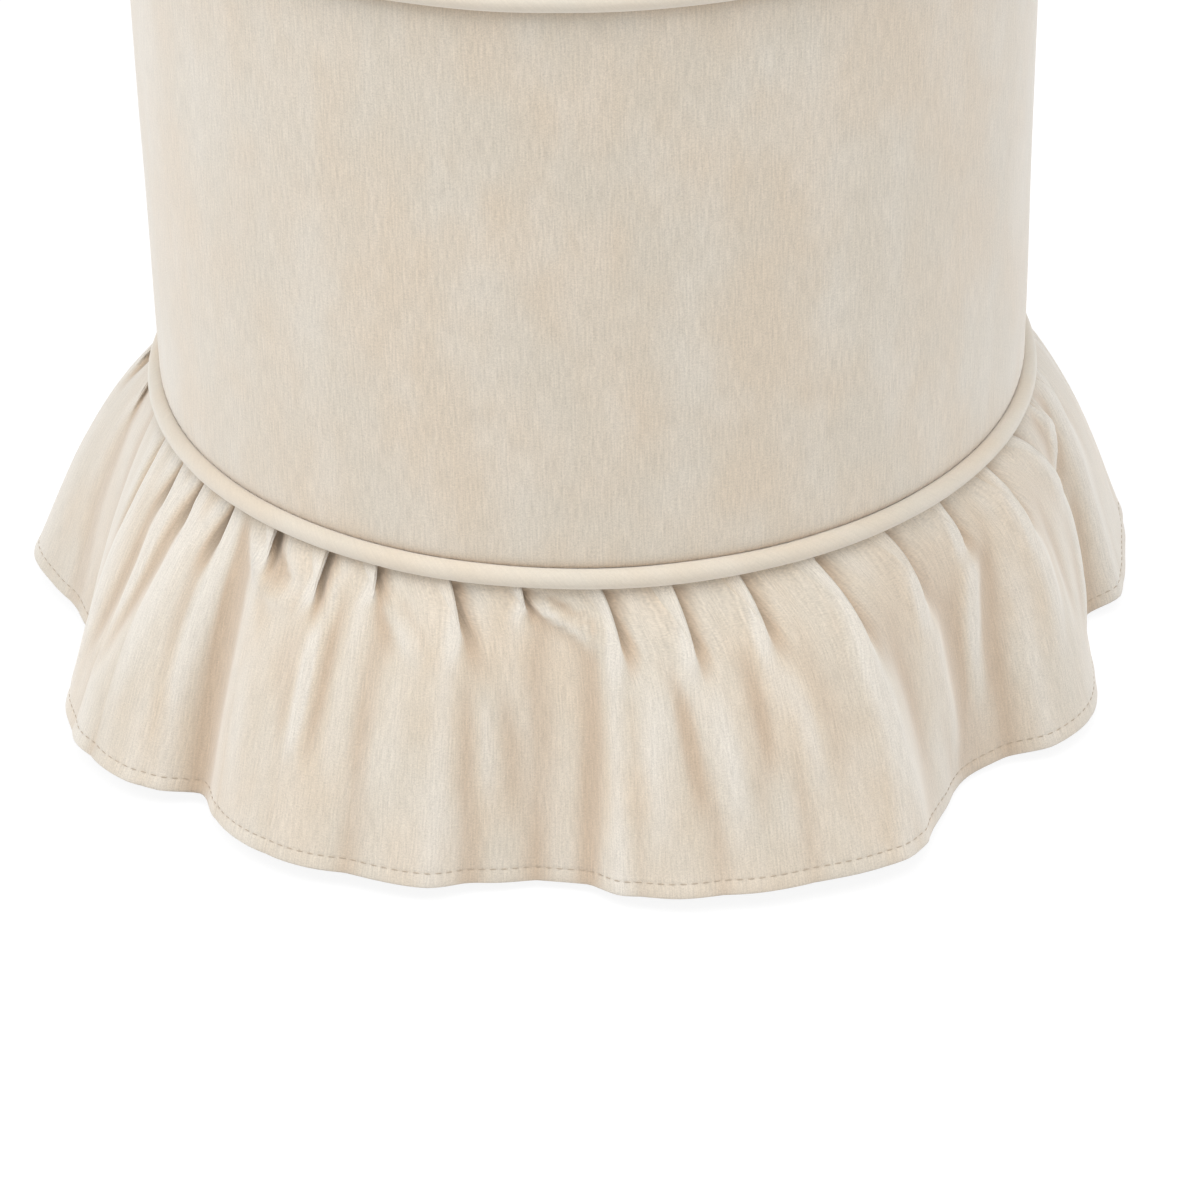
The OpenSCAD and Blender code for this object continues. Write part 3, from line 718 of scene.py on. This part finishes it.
# Loose ridges and creases: a path of (angle, share of the drop), the width to its left and to its right,
# and its height, the last three in millimetres. A crease has a negative height.
CREASES = (
    (((-76.0, 0.03), (-74.3, 0.10), (-73.0, 0.20), (-72.6, 0.34)), 4.0, 4.0, -2.4),
    (((-71.0, 0.10), (-69.5, 0.30), (-69.5, 0.60), (-70.0, 0.90)), 6.0, 6.0, 1.6),
    (((-65.0, 0.22), (-64.5, 0.34), (-65.2, 0.50), (-66.5, 0.70)), 5.0, 4.5, -2.1),
    (((-59.6, 0.12), (-60.0, 0.26), (-61.2, 0.44), (-63.2, 0.70)), 6.5, 5.0, -2.7),
    (((-56.5, 0.12), (-56.8, 0.35), (-58.0, 0.60), (-59.0, 0.90)), 7.0, 7.0, 1.3),
    (((-50.3, 0.14), (-50.3, 0.30), (-50.5, 0.48), (-51.0, 0.70)), 6.0, 5.0, 1.5),
    (
        ((-47.8, 0.075), (-46.8, 0.14), (-46.1, 0.28), (-46.2, 0.46), (-46.4, 0.66), (-46.6, 0.94)),
        8.0, 5.0, -1.2,
    ),
    (((-47.0, 0.06), (-45.5, 0.105), (-43.4, 0.160), (-41.0, 0.185), (-38.0, 0.17)), 3.5, 3.0, 2.2),
    (((-42.2, 0.07), (-40.8, 0.115), (-39.0, 0.13)), 3.5, 3.0, -2.2),
    (((-42.0, 0.24), (-41.6, 0.42), (-41.6, 0.62), (-41.8, 0.90)), 7.0, 9.0, 1.3),
    (((-36.5, 0.14), (-36.8, 0.30), (-37.0, 0.50)), 5.0, 4.0, -0.7),
    (((-33.3, 0.10), (-33.3, 0.28), (-33.4, 0.46), (-33.8, 0.66)), 4.0, 2.6, 1.3),
    (((-31.4, 0.10), (-31.3, 0.28), (-31.4, 0.45), (-31.8, 0.64)), 2.6, 6.0, -0.9),
    (((-27.0, 0.09), (-25.6, 0.12), (-23.0, 0.175), (-21.8, 0.24)), 3.0, 4.0, 1.1),
    (((-24.0, 0.30), (-23.0, 0.48), (-23.5, 0.72)), 9.0, 9.0, 0.7),
    (((-14.6, 0.24), (-13.2, 0.34), (-12.6, 0.52), (-12.8, 0.72)), 6.0, 6.0, 0.9),
    (((-10.6, 0.36), (-9.8, 0.55), (-9.6, 0.80)), 7.0, 6.0, -0.8),
    (((-9.1, 0.03), (-7.8, 0.060), (-5.6, 0.085), (-2.6, 0.125), (-0.8, 0.18)), 1.8, 5.5, 2.2),
    (((-7.4, 0.035), (-5.0, 0.055), (-2.0, 0.095)), 2.2, 2.4, -2.0),
    (((-1.0, 0.16), (0.0, 0.30), (0.0, 0.50), (-0.2, 0.72), (-0.8, 0.95)), 8.0, 6.0, -1.1),
    (((2.6, 0.16), (4.3, 0.25), (5.6, 0.36), (5.5, 0.55), (5.8, 0.78)), 9.0, 7.0, 1.6),
    (((8.6, 0.30), (9.3, 0.46), (10.0, 0.70)), 4.0, 4.0, -1.1),
    (((10.8, 0.17), (12.1, 0.25), (12.9, 0.42), (13.5, 0.56), (14.0, 0.79)), 9.0, 7.0, 1.7),
    (((16.6, 0.24), (17.2, 0.40), (17.8, 0.62)), 4.5, 5.0, -1.2),
    (((19.6, 0.17), (21.0, 0.30), (22.0, 0.48), (22.5, 0.70)), 8.0, 7.0, 1.5),
    (((29.6, 0.15), (31.0, 0.30), (31.7, 0.46), (32.3, 0.66), (33.8, 0.94)), 10.0, 5.0, 2.2),
    (((33.0, 0.20), (34.8, 0.38), (36.0, 0.58), (37.2, 0.90)), 5.0, 8.0, -1.2),
    (((40.2, 0.17), (42.3, 0.38), (42.9, 0.57), (44.4, 0.86)), 9.0, 5.0, 2.0),
    (((44.6, 0.26), (46.0, 0.46), (47.4, 0.72)), 5.0, 7.0, -0.6),
    (((51.4, 0.14), (52.0, 0.20), (50.0, 0.36), (49.1, 0.54), (49.2, 0.72)), 7.0, 5.0, 1.8),
    (((55.0, 0.20), (54.6, 0.40), (54.6, 0.60)), 6.0, 6.0, -0.9),
    (((60.6, 0.12), (61.8, 0.26), (61.6, 0.42), (61.4, 0.60)), 8.0, 5.0, 1.8),
    (((66.0, 0.24), (66.4, 0.42), (66.2, 0.66)), 5.0, 6.0, -1.3),
    (((71.5, 0.14), (75.4, 0.32), (75.4, 0.48), (74.0, 0.62), (71.5, 0.76)), 7.0, 3.5, 3.2),
    (((79.5, 0.07), (81.5, 0.17), (80.5, 0.29)), 5.0, 4.0, 4.5),
    (((83.5, 0.36), (82.0, 0.50), (80.0, 0.66)), 4.5, 4.5, -2.2),
)
CREASE_GAIN = 1.5
CREASE_TIP = 0.06
CREASE_FULLNESS = 0.7
# Painted highlight and shade on the skirt's folds, and painted shadow in its pockets
FOLD_SHADING_REACH = 0.008
FOLD_SHADING_SCALE = 0.0042
DARKEST_FOLD_SHADING = 0.15
POCKET_SHADOW_SCALE = 0.004

tuck_count = len(TUCK_WIDTH_SHARES)
tuck_angles = [FIRST_TUCK_ANGLE]
for width in TUCK_WIDTH_SHARES:
    tuck_angles.append(tuck_angles[-1] + 360 * width / sum(TUCK_WIDTH_SHARES))
tucks = [FRONT_TUCKS.get(k, USUAL_TUCKS[k % len(USUAL_TUCKS)]) for k in range(tuck_count)]


def eased(share):
    """Goes from 0 to 1 and starts and ends gently."""
    share = np.clip(share, 0, 1)
    return share * share * (3 - 2 * share)


def hem_share(angle):
    """How far the hem stands out at each angle, as a share of its mean reach.

    The line is level at each crest and in each valley, and smooth between them.
    """
    angles, shares = np.array(HEM_SHARES + ((HEM_SHARES[0][0] + 360, HEM_SHARES[0][1]),)).T
    rises = np.diff(shares) / np.diff(angles)
    before = np.roll(rises, 1)
    slopes = np.where(before * rises > 0, 2 / (1 / before + 1 / rises), 0)
    slopes = np.append(slopes, slopes[0])
    angle = (angle - angles[0]) % 360 + angles[0]
    k = np.searchsorted(angles, angle, side="right") - 1
    gap = angles[k + 1] - angles[k]
    t = (angle - angles[k]) / gap
    level = shares[k] * (1 - eased(t)) + shares[k + 1] * eased(t)
    return level + gap * t * (1 - t) * (slopes[k] * (1 - t) - slopes[k + 1] * t)


def tuck_at(k, down):
    """Tuck k at one share of the drop: its angle, its edge's height, its pocket's depth, how tightly it is
    folded, and its overlap.
    """
    overlap, height, pocket, folded, half, drift = tucks[k % tuck_count]
    line = tuck_angles[k % tuck_count] + 360 * (k // tuck_count) + drift * (1 - math.exp(-down / DRIFT_DROP))
    fold = (FOLD_TIGHTNESS if overlap > 0 else CREASE_TIGHTNESS) * (1 - float(eased(down / folded)))
    # The edge that shows lies to one side of the tuck's middle while the cloth is folded over
    edge = (math.sqrt(fold * fold - 1) - math.acos(1 / fold)) / math.pi if fold > 1 else 0.0
    angle = line - math.degrees(edge * overlap * FOLD_SPAN / 1000 / (drum_r + SKIRT_REACH * down))
    top = TUCK_TOP_H if overlap > 0 else height
    rise = top + (height - top) * float(eased(down / EDGE_RISE_DROP))
    fade = 1 / (1 + (down / half) ** EDGE_FADE_POWER)
    fading = POCKET_FADE_SHARE * folded if overlap > 0 else folded
    still_deep = 1 - float(eased((down - folded + fading) / fading))
    deep = pocket * float(eased(down / POCKET_START_DROP)) * still_deep
    return angle, rise * fade / 1000, deep / 1000, fold, overlap


def skirt_row(down):
    """The angle, the relief and the pocket's depth at every column of the strip, at one share of the drop."""
    angles, reliefs, depths = [], [], []
    shares = np.arange(COLUMNS_PER_TUCK) / COLUMNS_PER_TUCK
    shares = shares - COLUMN_CROWDING * np.sin(2 * math.pi * shares) / (2 * math.pi)
    # The strip's two ends meet at the back
    start = tuck_count // 2 - 1
    reach = drum_r + SKIRT_REACH * down
    soft = 0.5 + 0.5 * float(eased(down / FOLD_SOFTENING_DROP))
    for k in range(start, start + tuck_count):
        t = shares if k < start + tuck_count - 1 else np.append(shares, 1.0)
        left_a, left_h, left_deep, left_fold, left_lap = tuck_at(k, down)
        right_a, right_h, right_deep, right_fold, right_lap = tuck_at(k + 1, down)
        width = math.radians(right_a - left_a) * reach
        angle = left_a * (1 - t) + right_a * t
        left_level = left_h if left_lap < 0 else 0.0
        right_level = right_h if right_lap > 0 else 0.0
        relief = left_level * (1 - t) ** 2 + right_level * t**2
        relief = relief + SWELL_H * np.sin(math.pi * t) * min(down / SWELL_DROP, 1)
        hidden = np.zeros_like(relief)
        for lap, height, deep, fold, level, q in (
            (left_lap, left_h, left_deep, left_fold, left_level, t * width),
            (right_lap, right_h, right_deep, right_fold, right_level, (t - 1) * width),
        ):
            span = min(abs(lap) / 1000 * FOLD_SPAN, width * FOLD_SPAN_LIMIT)
            q = q / span
            near = np.abs(q) < 1
            shift = -fold * span * np.sin(math.pi * q) / math.pi
            angle = angle + np.where(near, np.degrees(shift / reach), 0)
            passed = eased(0.5 + 0.5 * q / soft)
            across = height * (1 - passed) if lap > 0 else height * passed
            relief = relief + np.where(near, across - level, 0) * (1 - np.abs(q) ** FOLD_EDGE_POWER * near)
            if lap > 0:
                tight = max(fold - 1, 0) / (FOLD_TIGHTNESS - 1)
                middle = POCKET_AT + POCKET_AT_UPRIGHT * min(fold, 1) + POCKET_AT_FOLDED * tight
                away = (q - middle) / (POCKET_HALF + POCKET_HALF_FOLDED * tight)
            else:
                left_bank, right_bank = LEFT_BANK + LEFT_BANK_GAIN * down, RIGHT_BANK + RIGHT_BANK_GAIN * down
                away = q * span / np.where(q < 0, left_bank, right_bank)
            pocket = deep * np.exp(-(away**2))
            relief = relief - pocket
            hidden = np.maximum(hidden, pocket)
        angles.append(angle)
        reliefs.append(relief)
        depths.append(hidden)
    return np.concatenate(angles), np.concatenate(reliefs), np.concatenate(depths)


def crease_relief(angle, down):
    """The height of the loose ridges and creases at each place on one row of the skirt, in metres."""
    ring = (drum_r + SKIRT_REACH * down) * 1000
    x, y = ((angle + 180) % 360 - 180) * math.radians(ring), down * SKIRT_DROP * 1000
    total = np.zeros_like(x)
    for path, left, right, height in CREASES:
        points = [
            (math.radians(a) * (drum_r + SKIRT_REACH * share) * 1000, share * SKIRT_DROP * 1000)
            for a, share in path
        ]
        lengths = [math.dist(p, q) for p, q in zip(points, points[1:])]
        nearest = np.full_like(x, 1e9)
        here = np.zeros_like(x)
        gone = 0.0
        for (px, py), (qx, qy), length in zip(points, points[1:], lengths):
            dx, dy = (qx - px) / length, (qy - py) / length
            along = np.clip((x - px) * dx + (y - py) * dy, 0, length)
            off_x, off_y = x - px - along * dx, y - py - along * dy
            away = np.hypot(off_x, off_y)
            width = np.where(off_x * dy - off_y * dx > 0, right, left)
            share = (gone + along) / sum(lengths)
            fade = np.sin(math.pi * (share * (1 - 2 * CREASE_TIP) + CREASE_TIP)) ** CREASE_FULLNESS
            raised = CREASE_GAIN * height / 1000 * fade * np.exp(-((away / width) ** 2))
            here = np.where(away < nearest, raised, here)
            nearest = np.minimum(away, nearest)
            gone += length
        total += here
    return total


def ripples(angles, down):
    """The slight unevenness of one row of the cloth, broad waves with finer ones on them, in metres."""
    broad, fine = [
        np.array([noise.noise(Vector((angle * across, down * along, layer))) for angle in angles])
        for across, along, layer in (BROAD_RIPPLES, FINE_RIPPLES)
    ]
    return RIPPLE_H * (broad + 0.5 * fine) * min(down / SWELL_DROP, 1)


def walked_along(line):
    """The way walked from a line's first point to each of its points."""
    return np.concatenate([[0], np.cumsum(np.linalg.norm(np.diff(line, axis=0), axis=1))])


# The rows go down from inside the seam to the hem, round its turned edge and up again behind it
HEM_ROW_HEIGHTS = (0.0078, 0.0068, 0.0061, STITCH_LINE, 0.0049, 0.0041, 0.0022, 0)
hem_rows = [1 - height / SKIRT_DROP for height in HEM_ROW_HEIGHTS]
last_row = hem_rows[0] * LAST_ROW_SHARE
down_rows = [last_row * (row / SKIRT_ROWS) ** ROW_CROWDING for row in range(SKIRT_ROWS + 1)] + hem_rows
grid_rows, pocket_rows, cloth_down = [], [], []
for down in down_rows:
    angle, relief, pocket = skirt_row(down)
    pocket_rows.append(pocket)
    share = hem_share(angle)
    turn = np.radians(angle)
    bow = down + (BOW_SHARE + BOW_SIDE_SHARE * np.sin(turn) ** 2) * down * (1 - down) ** BOW_SQUARENESS
    from_stitches = (1 - down) * SKIRT_DROP - STITCH_LINE
    stitched = STITCH_DIP * math.exp(-((from_stitches / STITCH_DIP_REACH) ** 2))
    out = drum_r + SKIRT_REACH * share * bow + relief + crease_relief(angle, down) + ripples(angle, down)
    out -= stitched
    hem_z = HEM_H + HEM_LIFT_SHARE * SKIRT_REACH * (share - 1)
    z = skirt_high.z + (hem_z - skirt_high.z) * down
    grid_rows.append(np.stack([out * np.sin(turn), -out * np.cos(turn), z + np.zeros_like(out)], axis=1))
    cloth_down.append(down * SKIRT_DROP)

# Above its top row the cloth goes on up into the seam, behind the lower piping
SEAM_R_IN = 0.0012
SEAM_UNDER_PIPING = 0.0037
top_row = grid_rows[0]
for row in range(1, SEAM_ROWS + 1):
    share = row / SEAM_ROWS
    ring = reach_of(top_row) * (1 - share) + (drum_r - SEAM_R_IN) * share
    inner = outward_of(top_row) * ring[:, None]
    inner[:, 2] = skirt_high.z * (1 - share) + (lower_piping_z - SEAM_UNDER_PIPING) * share
    grid_rows.insert(0, inner)
    cloth_down.insert(0, cloth_down[0] - SEAM_ROW_STEP)

hem_row, above_row = grid_rows[-1], grid_rows[-2]
inward = -outward_of(hem_row)
up = above_row - hem_row
up /= np.linalg.norm(up, axis=1)[:, None]
inward -= up * (inward * up).sum(axis=1)[:, None]
inward /= np.linalg.norm(inward, axis=1)[:, None]
for step in range(1, HEM_TURN_STEPS + 1):
    turn = math.radians(180 * step / HEM_TURN_STEPS)
    grid_rows.append(hem_row + inward * HEM_TURN_R * (1 - math.cos(turn)) - up * HEM_TURN_R * math.sin(turn))
    cloth_down.append(cloth_down[-1] + HEM_TURN_R * math.pi / HEM_TURN_STEPS)
for row in range(1, HEM_BACK_ROWS + 1):
    grid_rows.append(hem_row + inward * HEM_TURN_R * 2 + up * HEM_TURN_UP * row / HEM_BACK_ROWS)
    cloth_down.append(cloth_down[-1] + HEM_TURN_UP / HEM_BACK_ROWS)

skirt_places = np.array(grid_rows)
row_count, column_count = skirt_places.shape[:2]
cloth_across = walked_along(hem_row)


def fold_light_of(line):
    """How far each point of a row stands out from its neighbours on both sides, 0.5 being flat, for its
    painted light and shade.
    """
    walked = walked_along(line)
    before, after = [
        np.stack([np.interp((walked + way) % walked[-1], walked, line[:, i]) for i in (0, 1)])
        for way in (-FOLD_SHADING_REACH, FOLD_SHADING_REACH)
    ]
    middle = (before + after) / 2
    outward = line[:, :2].T / reach_of(line)
    stands = ((line[:, :2].T - middle) * outward).sum(axis=0) - FOLD_SHADING_REACH**2 / 2 / drum_r
    return 0.5 + stands / FOLD_SHADING_SCALE


# The skirt is painted lighter where it stands out and darker in its creases (painted highlight and shade),
# and darker still in the pockets under the tucks (painted shadow)
first_row, end_row = SEAM_ROWS, SEAM_ROWS + len(down_rows)
painted_fold_light = np.clip([fold_light_of(line) for line in skirt_places], DARKEST_FOLD_SHADING, 1)
above, below = painted_fold_light[first_row - 1:end_row - 2], painted_fold_light[first_row + 1:end_row]
painted_fold_light[first_row:end_row - 1] = (above + painted_fold_light[first_row:end_row - 1] * 2 + below) / 4
pocket_shadow_share = np.minimum(np.array(pocket_rows) / POCKET_SHADOW_SCALE, 1)
painted_fold_light[first_row:end_row] -= pocket_shadow_share * painted_fold_light[first_row:end_row]

bpy.ops.object.select_all(action="DESELECT")
bpy.ops.mesh.primitive_grid_add(x_subdivisions=column_count - 1, y_subdivisions=row_count - 1, size=1)
skirt = bpy.context.object
skirt.name = skirt.data.name = "ruffled_skirt"
flat_places = points_of(skirt)
column = np.rint((flat_places[:, 0] + 0.5) * (column_count - 1)).astype(int)
row = np.rint((0.5 - flat_places[:, 1]) * (row_count - 1)).astype(int)
while skirt.data.uv_layers:
    skirt.data.uv_layers.remove(skirt.data.uv_layers[0])
skirt_cloth = skirt.data.uv_layers.new(name="cloth")
strip = np.stack([cloth_across[column], -np.array(cloth_down)[row]], axis=1)
skirt_cloth.data.foreach_set("uv", strip[corners_of(skirt)].ravel())
move_points(skirt, skirt_places[row, column])
paint_fold_light(skirt, painted_fold_light[row, column])
bpy.ops.object.mode_set(mode="EDIT")
bpy.ops.mesh.select_all(action="SELECT")
bpy.ops.mesh.remove_doubles(threshold=MERGE_GAP)
bpy.ops.object.mode_set(mode="OBJECT")
bpy.ops.object.shade_smooth()
thicken(skirt, SKIRT_T)
wear(skirt, velvet)
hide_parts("skirt")
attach(skirt, "root")

# The hem is topstitched with beige thread, 5.5 mm above its edge and about 5 mm to a stitch.
# Each stitch is pulled into the pile, so only the middle of its length shows.
# The thread is coloured darker and browner than the cloth round it, partly as painted shade for the groove
# each stitch lies in
thread = new_finish("beige_thread", (0.54, 0.45, 0.35), 0.7)
thread_place = place_on(thread, "Object", (1, 1, 1))
thread_twist = add_node(thread, "TexWave", {"Vector": thread_place, "Scale": 900.0, "Distortion": 2.0})
colour_with(thread, between(thread, thread_twist, (0.46, 0.37, 0.27), (0.60, 0.51, 0.41)))
raise_with(thread, thread_twist, 0.0001)

STITCH_PITCH = 0.0049
STITCH_HALF = 0.0015
STITCH_PROUD_SHARE = 0.5
THREAD_R = 0.00022


def copied(piece, places):
    """A copy of the piece with its own mesh, moved to these places and selected."""
    copy = piece.copy()
    copy.data = piece.data.copy()
    bpy.context.collection.objects.link(copy)
    move_points(copy, places)
    copy.select_set(True)
    return copy


def join_copies(piece, last_copy, name):
    """Joins the selected copies into one piece of this name, and removes what they were copied from."""
    bpy.context.view_layer.objects.active = last_copy
    bpy.ops.object.join()
    last_copy.name = last_copy.data.name = name
    bpy.data.objects.remove(piece)
    return last_copy


stitch_at = first_row + down_rows.index(1 - STITCH_LINE / SKIRT_DROP)
stitch_row, next_row = skirt_places[stitch_at], skirt_places[stitch_at + 1]
walked = walked_along(stitch_row)
bpy.ops.mesh.primitive_uv_sphere_add(segments=6, ring_count=5, radius=1)
stitch = bpy.context.object
bpy.ops.object.mode_set(mode="EDIT")
bpy.ops.transform.rotate(value=math.radians(90), orient_axis="Y", center_override=(0, 0, 0))
bpy.ops.transform.resize(value=(STITCH_HALF, THREAD_R, THREAD_R))
bpy.ops.object.mode_set(mode="OBJECT")
bpy.ops.object.shade_smooth()
bpy.ops.object.select_all(action="DESELECT")
one = points_of(stitch)
stitch_count = int(walked[-1] / STITCH_PITCH)
for number in range(stitch_count):
    at = (number + 0.5) * walked[-1] / stitch_count
    k = int(np.clip(np.searchsorted(walked, at) - 1, 0, column_count - 2))
    share = (at - walked[k]) / (walked[k + 1] - walked[k])
    centre = stitch_row[k] * (1 - share) + stitch_row[k + 1] * share
    ahead = stitch_row[k + 1] - stitch_row[k]
    ahead /= np.linalg.norm(ahead)
    out = np.cross(next_row[k] - stitch_row[k], ahead)
    out /= np.linalg.norm(out)
    turned_stitch = one @ np.array([ahead, np.cross(out, ahead), out])
    copy = copied(stitch, centre + out * THREAD_R * STITCH_PROUD_SHARE + turned_stitch)
hem_stitching = join_copies(stitch, copy, "hem_stitching")
wear(hem_stitching, thread)
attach(hem_stitching, "root")

# A black spunbond sheet closes the underside. It laps over the turned-in band and is stapled through it.
# The web is thin and bonded in a grid of small dimples.
spunbond = new_finish("black_spunbond", (0.018, 0.018, 0.02), 0.85)
spunbond_place = place_on(spunbond, "Object", (1, 1, 1))
dimples = add_node(spunbond, "TexVoronoi", {"Vector": spunbond_place, "Scale": 700.0})
colour_with(spunbond, between(spunbond, dimples, (0.012, 0.012, 0.014), (0.035, 0.035, 0.038), (0.1, 0.8)))
raise_with(spunbond, dimples, 0.0002)

dust_low, dust_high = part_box("dust_cover")
DUST_T = 0.0006
DUST_ROWS = 12
DUST_STEP_W = 0.004
STAPLES = 36
SCALLOP = 0.0012
dust_step_r = turn_in_r - LAYER_GAP
upper_z = dust_high.z - DUST_T
dust_profile = [(dust_step_r * row / DUST_ROWS, upper_z) for row in range(DUST_ROWS)]
dust_profile += [
    (dust_step_r - DUST_T, upper_z), (dust_step_r, dust_low.z),
    (dust_step_r + DUST_STEP_W, dust_low.z), (dust_high.x, dust_low.z),
]
dust_sheet = turned("underside_sheet", dust_profile)
places = points_of(dust_sheet)
out = reach_of(places)
edge = np.clip((out - dust_step_r) / (dust_high.x - dust_step_r), 0, 1)
pulled = SCALLOP * edge * (0.5 - 0.5 * np.cos(STAPLES * angle_of(places)))
move_points(dust_sheet, widened(places, 1 - pulled / np.maximum(out, 0.001)))
bpy.ops.object.mode_set(mode="EDIT")
bpy.ops.mesh.select_all(action="SELECT")
bpy.ops.mesh.flip_normals()
bpy.ops.object.mode_set(mode="OBJECT")
# A little thinner than its room, so that it stays clear of the band's edge
thicken(dust_sheet, DUST_T * 0.9)
wear(dust_sheet, spunbond)
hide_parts("dust_cover")
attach(dust_sheet, "root")

# Wire staples, 10 mm wide, hold the black sheet and the band to the base board.
# Each is a bent length of zinc-plated wire with both legs driven into the plywood.
STAPLE_HALF = 0.005
STAPLE_LEG = 0.006
STAPLE_WIRE_R = 0.00035
STAPLE_CORNER = 0.0008
STAPLE_IN = 0.005
STAPLE_PROUD_SHARE = 0.7
staple_r = dust_high.x - STAPLE_IN
staple_line = bpy.data.curves.new("staple", "CURVE")
staple_line.dimensions = "3D"
staple_line.bevel_depth = STAPLE_WIRE_R
staple_line.bevel_resolution = 0
staple_line.use_fill_caps = True
wire = staple_line.splines.new("POLY")
bend = ((-STAPLE_HALF, STAPLE_LEG), (-STAPLE_HALF, STAPLE_CORNER), (-STAPLE_HALF + STAPLE_CORNER, 0))
wire_points = [(x, 0, z) for x, z in bend] + [(-x, 0, z) for x, z in reversed(bend)]
wire.points.add(len(wire_points) - 1)
for point, place in zip(wire.points, wire_points):
    point.co = (*place, 1)
staple = bpy.data.objects.new("staple", staple_line)
bpy.context.collection.objects.link(staple)
bpy.ops.object.select_all(action="DESELECT")
staple.select_set(True)
bpy.context.view_layer.objects.active = staple
bpy.ops.object.convert(target="MESH")
one = points_of(staple)
bpy.ops.object.select_all(action="DESELECT")
for number in range(STAPLES):
    turn = 2 * math.pi * number / STAPLES
    ahead = np.array((math.cos(turn), math.sin(turn), 0))
    out = np.array((math.sin(turn), -math.cos(turn), 0))
    centre = out * staple_r + (0, 0, dust_low.z - STAPLE_WIRE_R * STAPLE_PROUD_SHARE)
    copy = copied(staple, centre + one @ np.array([ahead, out, (0, 0, 1)]))
staples = join_copies(staple, copy, "underside_staples")
wear(staples, zinc)
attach(staples, "root")

# Four moulded plastic glides carry the pouf, each held by one screw in a deep recess.
# The plastic is black with a fine spark-eroded grain.
plastic = grained(
    "moulded_plastic", (0.02, 0.02, 0.022), 0.45, stretch=(1800, 1800, 1800), detail=2.0,
    low=(0.016, 0.016, 0.018), high=(0.028, 0.028, 0.03), edge=(0.3, 0.7), depth=0.00005,
)
for name in nodes:
    if name.startswith("glide_") and name != "glide_screws":
        wear(nodes[name], plastic)

# The floor is plain and pale.
# The camera sees it as nearly white, with the pouf's soft shadow left on it.
floor_finish = bpy.data.materials.new("pale_floor")
floor_finish.use_nodes = True
floor_finish.node_tree.nodes.clear()
plain_floor = add_node(floor_finish, "BsdfDiffuse", {"Color": (0.8, 0.8, 0.8, 1)})
seen_floor = add_node(floor_finish, "BsdfDiffuse", {"Color": (0.16, 0.16, 0.16, 1)})
glow = add_node(floor_finish, "Emission", {"Strength": 0.9})
bright = add_node(floor_finish, "AddShader", {0: seen_floor, 1: glow})


def seen_directly(owner):
    """1 where the camera looks at the background itself, or at it in gloss or through glass."""
    total = add_node(owner, "LightPath", {}, output="Is Camera Ray")
    rays = total.node.outputs
    for ray in ("Is Glossy Ray", "Is Transmission Ray"):
        total = add_node(owner, "Math", {0: total, 1: rays[ray]}, operation="MAXIMUM")
    return total


choice = add_node(floor_finish, "MixShader", {0: seen_directly(floor_finish), 1: plain_floor, 2: bright})
floor_output = floor_finish.node_tree.nodes.new("ShaderNodeOutputMaterial")
floor_finish.node_tree.links.new(choice, floor_output.inputs["Surface"])
bpy.ops.object.select_all(action="DESELECT")
bpy.ops.mesh.primitive_plane_add(size=12)
floor = bpy.context.object
floor.name = "floor"
wear(floor, floor_finish)

# Soft studio light: a big lamp overhead, a smaller one high on the left, a weak one on the right,
# and an even white room.
room = bpy.data.worlds.new("white_room")
bpy.context.scene.world = room
room.use_nodes = True
room_light = room.node_tree.nodes["Background"]
room_light.inputs["Color"].default_value = (1, 1, 1, 1)
room_light.inputs["Strength"].default_value = 0.65
room_seen = add_node(room, "Background", {"Color": (1, 1, 1, 1)})
room_choice = add_node(room, "MixShader", {0: seen_directly(room), 1: room_light.outputs[0], 2: room_seen})
room.node_tree.links.new(room_choice, room.node_tree.nodes["World Output"].inputs["Surface"])

LAMP_AIM = Vector((0, 0, 0.2))
for name, place, size, power in (
    ("key_lamp", (-1.6, -0.5, 1.9), 1.2, 14),
    ("top_lamp", (0.15, -0.9, 2.6), 1.8, 32),
    ("fill_lamp", (1.5, -1.1, 1.6), 1.5, 2),
):
    bpy.ops.object.light_add(type="AREA", location=place)
    lamp = bpy.context.object
    lamp.name = name
    lamp.data.size = size
    lamp.data.energy = power
    lamp.rotation_euler = (LAMP_AIM - Vector(place)).to_track_quat("-Z", "Y").to_euler()

# The camera stands 1.8 m in front of the pouf and looks down at 32 degrees.
# It is tilted slightly, as in the photograph.
CAMERA_PLACE = (0, -1.8, 1.12824)
CAMERA_DOWN = 32.0
CAMERA_ROLL = -1.2
CAMERA_YAW = 0.04
CAMERA_LENS = 132.3
bpy.ops.object.camera_add(
    location=CAMERA_PLACE, rotation=(math.radians(90 - CAMERA_DOWN), 0, -math.radians(CAMERA_YAW))
)
camera = bpy.context.object
camera.rotation_euler.rotate_axis("Z", math.radians(CAMERA_ROLL))
camera.data.sensor_width = 36
camera.data.lens = CAMERA_LENS
bpy.context.scene.camera = camera
bpy.context.scene.view_settings.view_transform = "Standard"
